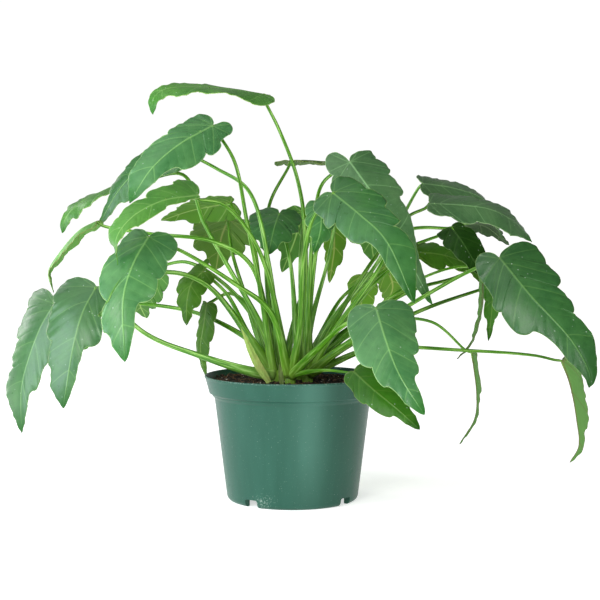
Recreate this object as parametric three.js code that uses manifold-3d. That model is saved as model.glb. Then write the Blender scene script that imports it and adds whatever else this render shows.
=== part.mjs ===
// Xanadu philodendron in a green nursery pot: five young crowns with their leaf stalks, the lobed
// leaf blades, old leaf sheaths, the potting soil and the pot.
// Millimetres, +Z up, +Y away from the viewer. The origin is on the surface the pot stands on, at
// the pot's axis.
import * as THREE from 'three';
import { mergeVertices } from 'three/addons/utils/BufferGeometryUtils.js';
import Module from 'manifold-3d';

const wasm = await Module();
wasm.setup();

// The pot, a six inch nursery pot of thin moulded plastic
const POT = {
  height: 108,
  wall: 1.6,
  rimRadius: 76.4,
  bandFootRadius: 72.5,
  bandHeight: 14.6,
  shoulderHeight: 4.5,
  bodyTopRadius: 67.7,
  bodyFootRadius: 57.3,
  cornerHeight: 5,
  footRadius: 53.5,
  footInnerRadius: 51,
  floorHeight: 8,
  facets: 40,
};
const NOTCH = { count: 4, firstAngle: -38, width: 13, height: 6.8, depth: 14 };

// The soil stands this far below the rim
const SOIL = { belowRim: 6.5, lump: 1.6, tilt: 0.02, rings: 4, facets: 24, holeDepth: 60, holeFacets: 12 };

// The gap between pieces that are separate bodies, and how far a joined surface may be evened out
const GAP = 0.3;
const EVEN = 0.06;

// Short stems of the five crowns: where each stands, and its size
const CROWNS = {
  left: [-15, -5],
  front: [-2, -15],
  right: [13, -6],
  back_right: [8, 12],
  back_left: [-9, 12],
};
const STEM = { footRadius: 5.2, topRadius: 4.6, footZ: 74, topZ: 111.5, stalkFootZ: 108.5, facets: 8 };

// A stalk tapers from its sheathing foot to the blade. Near the joint, from below the blade, a short
// neck takes over, which reaches on along the midrib.
const STALK = { footRadius: 4.6, midRadius: 2.5, endRadius: 1.7, flare: 100, sides: 5, stepLength: 40 };
const NECK = { length: 6, reach: 8, endRadius: 0.8, below: 5, behind: 2, sunk: 0.5 };

// A leaf blade: thickness, keel of the midrib, and how it bends across
const BLADE = { thickness: 0.8, keel: 0.9, cup: -0.16, wave: 0.035, ripples: 17, veinLean: 0.5 };

// One half of a blade's edge as points [share of the length along the midrib, share of the half
// width out from it]: the side of the round lobe at the base, and then by turns the notch before a
// lobe and the lobe's crest. `ROUND` is how full the arcs between them are, and `TIP` draws the last
// lobe out to the tip.
const PLAIN_EDGE = [[0.08, 1], [0.22, 0.88], [0.34, 1], [0.48, 0.76], [0.58, 0.82], [0.71, 0.52], [0.85, 0.34]];
const BASE = { back: 0.5, steps: 2 };
const ROUND = 0.55;
const TIP = { along: 0.4, out: 0.7, end: [0.93, 0.06], steps: 2 };
const COLUMNS = [0.55, 1];

// The leaves. `via` are points that the stalk passes on its way up from the crown, `midrib` are the
// points of the midrib from the joint to the tip, `right` is where the right edge points for one who
// looks along the midrib with the upper face up, `widths` are the half widths left and right, `fold`
// is how far the halves stand up in degrees. `lobes` is how far the left and the right lobe at the
// base reach back past the joint, as a share of the midrib's length. `twist` turns the blade about
// its midrib towards the tip, in degrees. `edges` are the left and the right half's own edge.
const LEAVES = [
  { crown: 'back_right', via: [[11, 16, 233], [4, 22, 279], [-12, 28, 322]],
    midrib: [[-26, 30, 353], [-54, 30, 357], [-95, 29, 359], [-115, 25, 355], [-122, 22, 347], [-122, 20, 334]],
    right: [0, 1, 0.1], widths: [20, 22], fold: 2, lobes: [0.1, 0.06], twist: -60,
    edges: [[[0.1, 0.9], [0.3, 0.8], [0.38, 0.9], [0.5, 0.6], [0.6, 0.8], [0.7, 0.7], [0.85, 0.5]],
      [[0.1, 0.9], [0.3, 0.7], [0.38, 0.7], [0.5, 0.4], [0.6, 0.5], [0.7, 0.4], [0.85, 0.3]]] },
  { crown: 'left', via: [[-26, -6, 173], [-39, -8, 240], [-50, -11, 293]],
    midrib: [[-68, -15, 322], [-94, -30, 306], [-118, -44, 283], [-135, -50, 256]],
    right: [-0.5, 0.45, 0.75], widths: [23, 20], fold: -4, lobes: [0.14, 0.05],
    edges: [[[-0.08, 0.62], [0.04, 0.75], [0.15, 1], [0.2, 0.78], [0.36, 0.98], [0.5, 0.72], [0.75, 0.43]],
      [[0.06, 0.97], [0.17, 0.9], [0.27, 0.95], [0.34, 0.72], [0.5, 0.95], [0.62, 0.85], [0.8, 0.8]]] },
  { crown: 'back_left', via: [[-21, 6, 206], [-38, 18, 267], [-68, 36, 288]],
    midrib: [[-101, 34, 304], [-132, 40, 291], [-154, 43, 270], [-174, 44, 236]],
    right: [-0.5, 0.5, 0.7], widths: [18, 15], fold: -6, lobes: [0.1, 0.1] },
  { crown: 'back_left', via: [[-30, 14, 154], [-55, 24, 198], [-78, 36, 238], [-99, 52, 283]],
    midrib: [[-163, 68, 273], [-193, 75, 259], [-208, 78, 244], [-212, 78, 230]],
    right: [-0.1, 0.98, 0.1], widths: [16, 16], fold: -4, lobes: [0.06, 0.06], twist: -70 },
  { crown: 'left', via: [[-35, -4, 202], [-67, 0, 223], [-124, 12, 230]],
    midrib: [[-172, 20, 241], [-187, 20, 233], [-205, 21, 213], [-215, 22, 196], [-211, 24, 178]],
    right: [0, 1, 0], widths: [9, 13], fold: -18, lobes: [0, 0.05] },
  { crown: 'front', via: [[-22, -28, 200], [-38, -38, 234], [-58, -50, 255]],
    midrib: [[-78, -62, 262], [-106, -76, 257], [-129, -90, 243], [-140, -97, 226], [-139, -98, 206]],
    right: [-0.25, 0.6, 0.75], widths: [16, 24], fold: -4, lobes: [0.02, 0.05],
    edges: [[[0.03, 0.2], [0.1, 0.25], [0.2, 0.36], [0.3, 0.46], [0.5, 0.62], [0.62, 0.6], [0.78, 0.3]],
      [[0.04, 1], [0.14, 0.72], [0.3, 0.66], [0.38, 0.38], [0.5, 0.5], [0.64, 0.4], [0.78, 0.53]]] },
  { crown: 'front', via: [[-19, -34, 165], [-48, -48, 189], [-92, -64, 217]],
    midrib: [[-117, -72, 228], [-127, -88, 208], [-134, -102, 181], [-132, -112, 130]],
    right: [-0.95, 0.03, 0.15], widths: [27, 22], fold: -4, lobes: [0.1, 0.05],
    edges: [[[0.02, 0.95], [0.11, 0.82], [0.22, 0.95], [0.31, 0.8], [0.42, 0.9], [0.56, 0.52], [0.76, 0.34]],
      [[0.12, 0.9], [0.22, 0.84], [0.36, 1.06], [0.57, 0.48], [0.68, 0.78], [0.78, 0.7], [0.88, 0.45]]] },
  { crown: 'left', via: [[-32, -12, 111], [-79, -18, 126], [-126, -22, 146]],
    midrib: [[-166, -30, 185], [-175, -40, 166], [-182, -48, 140], [-191, -50, 85]],
    right: [-0.9, 0.3, 0.2], widths: [21, 27], fold: -4, lobes: [0.03, 0.06],
    edges: [[[0.06, 0.68], [0.22, 0.58], [0.4, 1], [0.49, 0.6], [0.56, 0.42], [0.62, 0.4], [0.76, 0.34]],
      [[0.06, 1.4], [0.2, 1.18], [0.36, 1.2], [0.5, 0.8], [0.6, 0.84], [0.7, 0.78], [0.85, 0.62]]] },
  { crown: 'left', via: [[-37, -2, 140], [-77, 10, 187], [-117, 20, 196], [-190, 38, 166]],
    midrib: [[-214, 44, 167], [-225, 42, 148], [-234, 39, 125], [-242, 35, 94], [-242, 32, 52]],
    right: [-0.75, 0.6, 0.2], widths: [19, 30], fold: -4, lobes: [0.02, 0.06],
    edges: [[[0.1, 1], [0.2, 0.9], [0.35, 1.1], [0.46, 0.98], [0.56, 0.95], [0.68, 0.72], [0.8, 0.42]],
      [[0.06, 1.4], [0.13, 1.12], [0.25, 1.28], [0.34, 0.86], [0.43, 0.86], [0.54, 0.62], [0.7, 0.9]]] },
  { crown: 'back_left', via: [[-27, 25, 145], [-61, 50, 184], [-98, 66, 204]],
    midrib: [[-132, 80, 198], [-145, 112, 167], [-141, 136, 148]],
    right: [0.9, -0.2, -0.1], widths: [22, 22], fold: -6, lobes: [0.1, 0.1] },
  { crown: 'back_left', via: [[-35, 10, 136], [-58, 30, 176]],
    midrib: [[-80, 38, 196], [-89, 31, 187], [-93, 26, 171], [-94, 24, 149]],
    right: [-0.8, 0.5, 0.2], widths: [15, 17], fold: -8, lobes: [0.05, 0.3] },
  { crown: 'back_left', via: [[-23, 18, 126], [-41, 34, 167], [-58, 50, 176]],
    midrib: [[-77, 46, 167], [-80, 46, 147], [-83, 48, 125], [-78, 48, 99]],
    right: [-0.7, 0.7, 0], widths: [12, 10], fold: -5, lobes: [0.03, 0.03] },
  { crown: 'back_left', via: [[-27, 24, 171], [-36, 44, 224]],
    midrib: [[-56, 66, 258], [-87, 80, 253], [-122, 88, 242]],
    right: [0.25, 0.85, -0.5], widths: [22, 22], fold: -4, lobes: [0.1, 0.05] },
  { crown: 'back_left', via: [[-27, 22, 132], [-44, 44, 179], [-56, 76, 215]],
    midrib: [[-60, 104, 243], [-68, 134, 227], [-75, 160, 194]],
    right: [0.98, 0.11, -0.1], widths: [32, 30], fold: -6, lobes: [0.1, 0.1] },
  { crown: 'back_right', via: [[3, 14, 146], [-2, 36, 205]],
    midrib: [[-12, 56, 248], [-16, 34, 235], [-21, 12, 212]],
    right: [-0.97, 0.12, 0.09], widths: [21, 27], fold: -4, lobes: [0.2, 0.2] },
  { crown: 'back_right', via: [[8, 20, 145], [7, 46, 205]],
    midrib: [[9, 78, 250], [2, 96, 224], [-10, 104, 193]],
    right: [0.9, 0.3, -0.2], widths: [19, 18], fold: -6, lobes: [0.1, 0.1] },
  { crown: 'back_left', via: [[-18, 26, 145], [-24, 52, 206], [-21, 80, 257]],
    midrib: [[-2, 100, 298], [17, 124, 298], [35, 146, 295]],
    right: [0.8, -0.55, 0.05], widths: [20, 20], fold: 0, lobes: [0.1, 0.1] },
  { crown: 'right', via: [[14, -2, 173], [19, 6, 242], [27, 22, 275]],
    midrib: [[50, 8, 292], [65, -6, 270], [83, -18, 245], [98, -28, 210], [119, -20, 170]],
    right: [-0.68, -0.35, -0.62], widths: [19, 27], fold: -4, lobes: [0.05, 0.12],
    edges: [[[-0.03, 1.3], [0.03, 1.22], [0.12, 1.5], [0.17, 1.25], [0.3, 1.42], [0.34, 1.02], [0.44, 0.95]],
      [[-0.02, 0.74], [0.02, 0.66], [0.09, 0.9], [0.3, 0.8], [0.42, 0.8], [0.6, 0.6], [0.8, 0.3]]] },
  { crown: 'front', via: [[6, -28, 149], [10, -44, 214], [18, -54, 245]],
    midrib: [[33, -66, 264], [54, -84, 246], [74, -100, 226], [95, -122, 177]],
    right: [-0.55, -0.3, -0.75], widths: [24, 24], fold: -4, lobes: [0.08, 0.06],
    edges: [[[0.06, 0.92], [0.14, 0.9], [0.25, 1.1], [0.33, 0.84], [0.47, 0.82], [0.48, 0.48], [0.66, 0.76]],
      [[0, 0.9], [0.08, 0.86], [0.14, 1.02], [0.17, 0.72], [0.32, 0.86], [0.44, 0.6], [0.7, 0.4]]] },
  { crown: 'right', via: [[33, 8, 146], [70, 24, 205], [103, 40, 245]],
    midrib: [[122, 40, 257], [152, 40, 255], [178, 42, 251], [200, 50, 240], [218, 62, 222]],
    right: [-0.06, -0.72, -0.54], widths: [22, 19], fold: -4, lobes: [0, 0.02],
    edges: [[[0.06, 1], [0.2, 0.95], [0.28, 1], [0.42, 0.6], [0.62, 0.95], [0.74, 0.85], [0.88, 0.45]],
      [[0.1, 0.75], [0.2, 0.8], [0.28, 1.1], [0.38, 0.88], [0.46, 0.9], [0.56, 0.95], [0.72, 0.95]]] },
  { crown: 'back_right', via: [[34, 24, 152], [74, 50, 200]],
    midrib: [[121, 88, 276], [150, 102, 272], [182, 116, 260], [202, 130, 224]],
    right: [-0.06, -0.8, -0.5], widths: [19, 18], fold: -4, lobes: [0.02, 0.05] },
  { crown: 'back_right', via: [[38, 40, 144], [95, 86, 209]],
    midrib: [[161, 134, 240], [186, 144, 237], [212, 156, 218]],
    right: [0.4, -0.8, 0.2], widths: [16, 18], fold: -6, lobes: [0.05, 0.05] },
  { crown: 'right', via: [[31, 2, 138], [69, 6, 190], [98, 10, 232]],
    midrib: [[139, 12, 236], [149, 2, 220], [165, -4, 194]],
    right: [-0.75, -0.35, -0.55], widths: [18, 20], fold: -4, lobes: [0.05, 0.03],
    edges: [[[0, 0.6], [0.1, 0.62], [0.3, 0.95], [0.42, 0.93], [0.56, 0.9], [0.7, 0.7], [0.84, 0.4]],
      [[0, 0.75], [0.14, 0.6], [0.24, 0.75], [0.34, 0.65], [0.44, 0.6], [0.6, 0.5], [0.8, 0.4]]] },
  { crown: 'back_right', via: [[36, 30, 140], [77, 48, 188]],
    midrib: [[109, 64, 213], [142, 70, 209], [164, 74, 198], [175, 76, 182]],
    right: [-0.1, -0.7, -0.6], widths: [18, 18], fold: -4, lobes: [0.03, 0.03],
    edges: [[[0.06, 0.8], [0.14, 0.8], [0.24, 1.2], [0.36, 0.9], [0.5, 0.7], [0.66, 0.5], [0.82, 0.3]],
      [[0.07, 0.4], [0.15, 0.45], [0.3, 0.95], [0.42, 0.58], [0.6, 0.66], [0.7, 0.4], [0.84, 0.3]]] },
  { crown: 'right', via: [[37, -18, 129], [104, -28, 173], [148, -30, 198]],
    midrib: [[173, -44, 210], [194, -62, 182], [227, -80, 143], [241, -84, 115], [240, -85, 106]],
    right: [-0.72, -0.2, -0.66], widths: [25, 29], fold: -4, lobes: [0.04, 0.1],
    edges: [[[0.06, 1.32], [0.18, 1.16], [0.31, 1.25], [0.37, 0.9], [0.46, 0.95], [0.56, 0.66], [0.74, 0.74]],
      [[0.06, 0.8], [0.2, 0.92], [0.24, 1.02], [0.28, 0.9], [0.4, 1], [0.49, 0.68], [0.78, 0.4]]] },
  { crown: 'right', via: [[33, -2, 117], [69, -6, 131], [151, -14, 130], [208, -18, 126]],
    midrib: [[231, -20, 122], [238, -20, 102], [244, -20, 71], [246, -20, 48], [238, -20, 34]],
    right: [0, -1, 0], widths: [17, 17], fold: 34, lobes: [0.02, 0.02],
    edges: [[[0.02, 1.3], [0.12, 1.25], [0.22, 1.25], [0.36, 1.1], [0.5, 1], [0.66, 0.55], [0.84, 0.3]],
      [[0.02, 1.3], [0.12, 1.25], [0.22, 1.25], [0.36, 1.1], [0.5, 1], [0.66, 0.55], [0.84, 0.3]]] },
  { crown: 'right', via: [[36, -6, 127], [80, 0, 154], [122, 6, 153]],
    midrib: [[158, 10, 126], [162, 10, 93], [160, 10, 67], [147, 10, 45]],
    right: [0, -1, 0], widths: [13, 13], fold: 16, lobes: [0.02, 0.02],
    edges: [[[0.02, 1], [0.12, 0.95], [0.25, 1.05], [0.4, 0.85], [0.55, 0.5], [0.7, 0.38], [0.86, 0.2]],
      [[0.02, 1], [0.12, 0.95], [0.25, 1.05], [0.4, 0.85], [0.55, 0.5], [0.7, 0.38], [0.86, 0.2]]] },
  { crown: 'back_right', via: [[38, 18, 132], [96, 30, 180], [141, 40, 199]],
    midrib: [[172, 46, 197], [170, 46, 157], [160, 45, 129], [148, 44, 117]],
    right: [0.1, -0.99, 0], widths: [8, 8], fold: -6, lobes: [0.02, 0.02] },
  { crown: 'back_right', via: [[37, 34, 135], [107, 66, 177], [150, 92, 188]],
    midrib: [[187, 82, 201], [185, 80, 168], [182, 82, 130]],
    right: [-0.9, -0.3, 0], widths: [10, 9], fold: -4, lobes: [0.02, 0.02] },
  { crown: 'front', via: [[20, -44, 133], [42, -82, 157]],
    midrib: [[65, -126, 173], [71, -149, 150], [80, -166, 126], [98, -177, 97]],
    right: [-0.93, -0.2, -0.3], widths: [24, 26], fold: -4, lobes: [0.08, 0.08],
    edges: [[[0.04, 1.18], [0.27, 1.04], [0.4, 1], [0.5, 0.72], [0.6, 0.72], [0.7, 0.5], [0.84, 0.3]],
      [[0.1, 0.96], [0.24, 0.92], [0.36, 0.96], [0.51, 0.62], [0.58, 0.66], [0.68, 0.52], [0.85, 0.3]]] },
  { crown: 'front', via: [[14, -36, 114], [30, -70, 119]],
    midrib: [[49, -98, 121], [64, -110, 108], [82, -121, 94], [99, -130, 79]],
    right: [-0.67, -0.3, -0.68], widths: [18, 19], fold: -4, lobes: [0.03, 0.05],
    edges: [[[0.04, 0.9], [0.22, 0.88], [0.34, 1], [0.48, 0.8], [0.6, 0.8], [0.74, 0.5], [0.86, 0.34]],
      [[0.06, 0.62], [0.2, 0.72], [0.3, 0.75], [0.36, 0.64], [0.45, 0.66], [0.68, 0.36], [0.84, 0.24]]] },
  { crown: 'back_right', via: [[29, 36, 144], [58, 54, 178]],
    midrib: [[86, 72, 200], [93, 90, 179], [85, 104, 158]],
    right: [0.9, 0.3, 0.3], widths: [15, 15], fold: -6, lobes: [0.03, 0.03] },
  { crown: 'back_right', via: [[23, 46, 134], [44, 74, 169]],
    midrib: [[65, 98, 190], [66, 120, 168], [63, 132, 144]],
    right: [0.9, 0.3, 0], widths: [15, 15], fold: -6, lobes: [0.08, 0.08] },
  { crown: 'back_right', via: [[17, 30, 153], [32, 50, 206]],
    midrib: [[37, 64, 240], [38, 76, 215], [34, 78, 184]],
    right: [0.9, 0.3, 0], widths: [11, 11], fold: -6, lobes: [0.04, 0.04] },
  { crown: 'right', via: [[15, 0, 164], [22, -2, 229]],
    midrib: [[25, -6, 255], [24, -16, 233], [18, -22, 214]],
    right: [-0.9, -0.2, -0.2], widths: [12, 14], fold: -6, lobes: [0.1, 0.1] },
  { crown: 'back_left', via: [[7, 60, 169], [35, 104, 238]],
    midrib: [[67, 136, 267], [74, 162, 240], [81, 176, 201]],
    right: [0.9, 0.1, 0], widths: [28, 28], fold: -6, lobes: [0.1, 0.1] },
  { crown: 'back_right', via: [[23, 50, 117], [54, 90, 135]],
    midrib: [[84, 130, 144], [94, 160, 117], [101, 176, 75]],
    right: [0.9, 0.1, 0], widths: [26, 26], fold: -6, lobes: [0.1, 0.1] },
  { crown: 'back_left', via: [[-27, 30, 127], [-85, 70, 156], [-152, 98, 165]],
    midrib: [[-196, 118, 168], [-210, 142, 138], [-217, 156, 93]],
    right: [0.9, 0.1, 0], widths: [20, 20], fold: -6, lobes: [0.1, 0.1] },
  { crown: 'back_left', via: [[7, 56, 118], [10, 85, 110]],
    midrib: [[13, 116, 86], [18, 142, 50], [25, 150, 7]],
    right: [0.9, 0.1, 0], widths: [28, 28], fold: -6, lobes: [0.1, 0.1] },
  { crown: 'right', via: [[42, 14, 128], [114, 46, 160], [172, 94, 176]],
    midrib: [[214, 112, 190], [238, 136, 168], [248, 146, 134]],
    right: [0.9, 0.1, 0], widths: [20, 20], fold: -6, lobes: [0.05, 0.05] },
];

// Old papery leaf sheaths that stand at the clump's foot, by the same terms as the leaves
const SHEATHS = [
  { midrib: [[-20, -22, 103.6], [-31, -24, 122], [-44, -24, 151]], right: [-0.8, 0.1, -0.5], widths: [3, 3.5],
    fold: 20, lobes: [0, 0] },
  { midrib: [[-9, -31, 102.4], [-10, -32, 112], [-11, -31, 121]], right: [1, 0, 0], widths: [2, 2],
    fold: 20, lobes: [0, 0] },
];
const SHEATH_EDGE = [[0.3, 1.1], [0.5, 1], [0.6, 0.95]];

const vec = ([x, y, z]) => new THREE.Vector3(x, y, z);
const radians = THREE.MathUtils.degToRad;

// Drops all but the positions, joins equal vertices and leaves out triangles of no area
function closed(geometry) {
  const bare = new THREE.BufferGeometry();
  bare.setAttribute('position', geometry.getAttribute('position').clone());
  if (geometry.index) bare.setIndex(geometry.index.clone());
  const merged = mergeVertices(bare, 1e-4);
  const index = [...merged.index.array];
  const kept = [];
  for (let i = 0; i < index.length; i += 3) {
    const [a, b, c] = index.slice(i, i + 3);
    if (a !== b && b !== c && c !== a) kept.push(a, b, c);
  }
  merged.setIndex(kept);
  return merged;
}

// A closed geometry as a solid that can be joined and cut
function solid(geometry) {
  const shape = closed(geometry);
  const vertProperties = new Float32Array(shape.getAttribute('position').array);
  const triVerts = new Uint32Array(shape.index.array);
  return new wasm.Manifold(new wasm.Mesh({ numProp: 3, vertProperties, triVerts }));
}

// A solid as a geometry, without the loose scraps that a join can leave. Edges that a cut left
// shorter than `EVEN` shrink to a point, and triangles that fold onto each other there are dropped.
function geometryOf(body) {
  const largest = body.decompose().reduce((a, b) => (a.volume() > b.volume() ? a : b));
  const mesh = largest.simplify(EVEN).getMesh();
  const points = Array.from({ length: mesh.vertProperties.length / 3 }, (_, i) => (
    new THREE.Vector3().fromArray(mesh.vertProperties, i * 3)));
  const corners = Array.from({ length: mesh.triVerts.length / 3 }, (_, i) => (
    [...mesh.triVerts.slice(i * 3, i * 3 + 3)]));
  const joined = points.map((_, i) => i);
  for (const [a, b, c] of corners) {
    for (const [from, to] of [[a, b], [b, c], [c, a]]) {
      const [kept, gone] = [joined[from], joined[to]];
      if (kept === gone || points[from].distanceTo(points[to]) > EVEN) continue;
      joined.forEach((id, i) => { if (id === gone) joined[i] = kept; });
    }
  }
  const triangles = new Map();
  for (const triangle of corners.map((ids) => ids.map((id) => joined[id]))) {
    const key = [...triangle].sort((a, b) => a - b).join();
    if (new Set(triangle).size < 3) continue;
    if (!triangles.delete(key)) triangles.set(key, triangle);
  }
  const geometry = new THREE.BufferGeometry().setFromPoints(points);
  geometry.setIndex([...triangles.values()].flat());
  return closed(geometry);
}

// A closed turned shape about Z from a profile of [radius, height] points
function turned(profile, facets) {
  const points = profile.map(([radius, height]) => new THREE.Vector2(radius, height));
  return new THREE.LatheGeometry(points, facets).rotateX(Math.PI / 2);
}

// A round tube along points, each with its own radius. Its flat ends are square to the tube, or to
// the directions `facing` and `leaving` where they are given.
function taperedTube(points, radii, sides, { facing, leaving } = {}) {
  const positions = [];
  const index = [];
  const tangentAt = (i) => {
    if (i === 0 && facing) return facing;
    if (i === points.length - 1 && leaving) return leaving;
    return points[Math.min(i + 1, points.length - 1)].clone().sub(points[Math.max(i - 1, 0)]).normalize();
  };
  let across = new THREE.Vector3(0, 1, 0);
  if (Math.abs(tangentAt(0).y) > 0.8) across = new THREE.Vector3(1, 0, 0);
  points.forEach((point, i) => {
    const tangent = tangentAt(i);
    across = across.clone().addScaledVector(tangent, -across.dot(tangent)).normalize();
    const up = tangent.clone().cross(across);
    for (let k = 0; k < sides; k += 1) {
      const angle = (k / sides) * 2 * Math.PI;
      const corner = point.clone().addScaledVector(across, radii[i] * Math.cos(angle))
        .addScaledVector(up, radii[i] * Math.sin(angle));
      positions.push(corner.x, corner.y, corner.z);
    }
  });
  for (let i = 0; i < points.length - 1; i += 1) {
    for (let k = 0; k < sides; k += 1) {
      const a = i * sides + k;
      const b = i * sides + ((k + 1) % sides);
      index.push(a, b, b + sides, a, b + sides, a + sides);
    }
  }
  const last = (points.length - 1) * sides;
  for (let k = 1; k < sides - 1; k += 1) {
    index.push(0, k + 1, k, last, last + k, last + k + 1);
  }
  const geometry = new THREE.BufferGeometry();
  geometry.setAttribute('position', new THREE.Float32BufferAttribute(positions, 3));
  geometry.setIndex(index);
  return geometry;
}

// The way of a stalk: out of its crown's stem, past its points, and up to the joint from below the blade
function stalkCurve(leaf) {
  const [x, y] = CROWNS[leaf.crown];
  const first = vec(leaf.via[0]);
  const lean = new THREE.Vector3(first.x - x, first.y - y, 0).normalize();
  const foot = new THREE.Vector3(x, y, STEM.stalkFootZ).addScaledVector(lean, STEM.topRadius / 3);
  const joint = vec(leaf.midrib[0]);
  const along = vec(leaf.midrib[1]).sub(joint).normalize();
  const up = vec(leaf.right).cross(along).normalize();
  const below = joint.clone().addScaledVector(up, -NECK.below).addScaledVector(along, -NECK.behind);
  return new THREE.CatmullRomCurve3([foot, ...leaf.via.map(vec), below, joint], false, 'centripetal');
}

function stalkGeometry(leaf) {
  const curve = stalkCurve(leaf);
  const length = curve.getLength();
  const end = length - NECK.length - GAP;
  const steps = Math.max(3, Math.round(end / STALK.stepLength));
  const ways = Array.from({ length: steps }, (_, i) => (i / steps) * end).concat(end - NECK.length / 2, end);
  const radii = ways.map((way) => {
    const flare = Math.max(0, 1 - way / STALK.flare);
    const slim = THREE.MathUtils.lerp(STALK.midRadius, STALK.endRadius, way / end);
    return slim + (STALK.footRadius - STALK.midRadius) * flare * flare;
  });
  const leaving = curve.getTangentAt(end / length);
  return taperedTube(ways.map((way) => curve.getPointAt(way / length)), radii, STALK.sides, { leaving });
}

// Half an edge as points [along, out], from the joint round the base lobe, which reaches `lobe` back,
// and past each notch and crest to the tip
function halfEdge(edge, lobe) {
  const rows = [[0, 0]];
  const bend = (from, handles, to, steps) => {
    const curve = new THREE.CubicBezierCurve(...[from, ...handles, to].map((at) => new THREE.Vector2(...at)));
    for (let i = 1; i <= steps; i += 1) rows.push(curve.getPoint(i / steps).toArray());
  };
  const outward = (from, to, steps) => bend(from, [[from[0], from[1] + ROUND * (to[1] - from[1])],
    [to[0] + ROUND * (from[0] - to[0]), to[1]]], to, steps);
  const inward = (from, to, steps) => bend(from, [[from[0] + ROUND * (to[0] - from[0]), from[1]],
    [to[0], to[1] + ROUND * (from[1] - to[1])]], to, steps);
  const back = [-lobe, BASE.back * edge[0][1]];
  inward([0, 0], back, 1);
  outward(back, edge[0], BASE.steps);
  for (let i = 1; i < edge.length; i += 1) {
    const turn = i % 2 ? inward : outward;
    turn(edge[i - 1], edge[i], 1);
  }
  const [along, out] = edge.at(-1);
  bend([along, out], [[along + TIP.along * (1 - along), out * TIP.out], TIP.end], [1, 0], TIP.steps);
  return rows;
}

// The middle surface of a blade: a point for a place along the midrib and out from it
function bladeSurface(leaf) {
  const midrib = new THREE.CatmullRomCurve3(leaf.midrib.map(vec), false, 'centripetal');
  const length = midrib.getLength();
  const rightward = vec(leaf.right).normalize();
  const frameAt = (t) => {
    const held = THREE.MathUtils.clamp(t, 0, 1);
    const tangent = midrib.getTangentAt(held);
    const up = rightward.clone().cross(tangent).normalize()
      .applyAxisAngle(tangent, radians(held * held * (leaf.twist ?? 0)));
    const side = tangent.clone().cross(up);
    const origin = midrib.getPointAt(held).addScaledVector(tangent, (t - held) * length);
    return { origin, up, side };
  };
  const rise = radians(leaf.fold);
  const point = (along, out, hand) => {
    const width = leaf.widths[hand > 0 ? 1 : 0];
    const { origin, up, side } = frameAt(along);
    const ripple = BLADE.wave * Math.sin(along * BLADE.ripples + hand + leaf.midrib[0][0]);
    const lift = out * width * Math.sin(rise) + out * out * width * (BLADE.cup + ripple);
    return origin.addScaledVector(side, hand * out * width * Math.cos(rise)).addScaledVector(up, lift);
  };
  return { point, frameAt, length };
}

// A blade's mesh: its middle surface moved up and down by half the thickness, with an edge strip
function bladeGeometry(leaf) {
  const { point, frameAt, length } = bladeSurface(leaf);
  const slimness = (leaf.widths[0] + leaf.widths[1]) / 2 / length;
  const edges = leaf.edges.map((edge, i) => halfEdge(edge, leaf.lobes[i]));
  const last = edges[0].length - 1;
  const positions = [];
  const keel = [];
  const index = [];
  const add = (place, depth) => {
    positions.push(place.x, place.y, place.z);
    keel.push(depth);
    return keel.length - 1;
  };
  const joint = add(point(0, 0, 1), BLADE.keel);
  const tip = add(point(1, 0, 1), 0);
  let start = 0;
  const veinStarts = edges[0].map((_, i) => {
    const [left, right] = edges.map((edge) => edge[i][0] - BLADE.veinLean * edge[i][1] * slimness);
    start = Math.max(start, (left + right) / 2);
    return i === last ? 1 : start;
  });
  const midribIds = veinStarts.map((along, i) => {
    if (i === last) return tip;
    return along === 0 ? joint : add(point(along, 0, 1), BLADE.keel * (1 - along));
  });
  const loop = [];
  for (const hand of [1, -1]) {
    const grid = edges[hand > 0 ? 1 : 0].map(([along, out], i) => [midribIds[i], ...COLUMNS.map((share) => {
      if (i === 0) return joint;
      if (i === last) return tip;
      return add(point(veinStarts[i] + (along - veinStarts[i]) * share, out * share, hand), 0);
    })]);
    for (let i = 0; i < last; i += 1) {
      for (let j = 0; j < COLUMNS.length; j += 1) {
        const quad = [grid[i][j], grid[i][j + 1], grid[i + 1][j + 1], grid[i + 1][j]];
        if (hand < 0) quad.reverse();
        for (const triangle of [[quad[0], quad[1], quad[2]], [quad[0], quad[2], quad[3]]]) {
          if (new Set(triangle).size === 3) index.push(...triangle);
        }
      }
    }
    const edge = grid.map((row) => row[COLUMNS.length]);
    loop.push(...(hand > 0 ? edge.slice(0, -1) : edge.slice(1).reverse()));
  }
  const middle = new THREE.BufferGeometry();
  middle.setAttribute('position', new THREE.Float32BufferAttribute(positions, 3));
  middle.setIndex(index);
  middle.computeVertexNormals();
  const normals = middle.getAttribute('normal');
  const toward = frameAt(0.5).up;
  const count = keel.length;
  const both = new Float32Array(count * 6);
  const sign = new THREE.Vector3().fromBufferAttribute(normals, loop[3]).dot(toward) < 0 ? -1 : 1;
  for (let i = 0; i < count; i += 1) {
    const normal = new THREE.Vector3().fromBufferAttribute(normals, i).multiplyScalar(sign);
    const place = new THREE.Vector3().fromArray(positions, i * 3);
    place.clone().addScaledVector(normal, BLADE.thickness / 2).toArray(both, i * 3);
    place.addScaledVector(normal, -BLADE.thickness / 2 - keel[i]).toArray(both, (count + i) * 3);
  }
  const faces = [];
  for (let i = 0; i < index.length; i += 3) {
    const [a, b, c] = sign > 0 ? index.slice(i, i + 3) : index.slice(i, i + 3).reverse();
    faces.push(a, b, c, count + a, count + c, count + b);
  }
  loop.forEach((a, i) => {
    const b = loop[(i + 1) % loop.length];
    if (sign > 0) faces.push(a, count + a, count + b, a, count + b, b);
    else faces.push(a, count + b, count + a, a, b, count + b);
  });
  const geometry = new THREE.BufferGeometry();
  geometry.setAttribute('position', new THREE.BufferAttribute(both, 3));
  geometry.setIndex(faces);
  return geometry;
}

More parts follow.
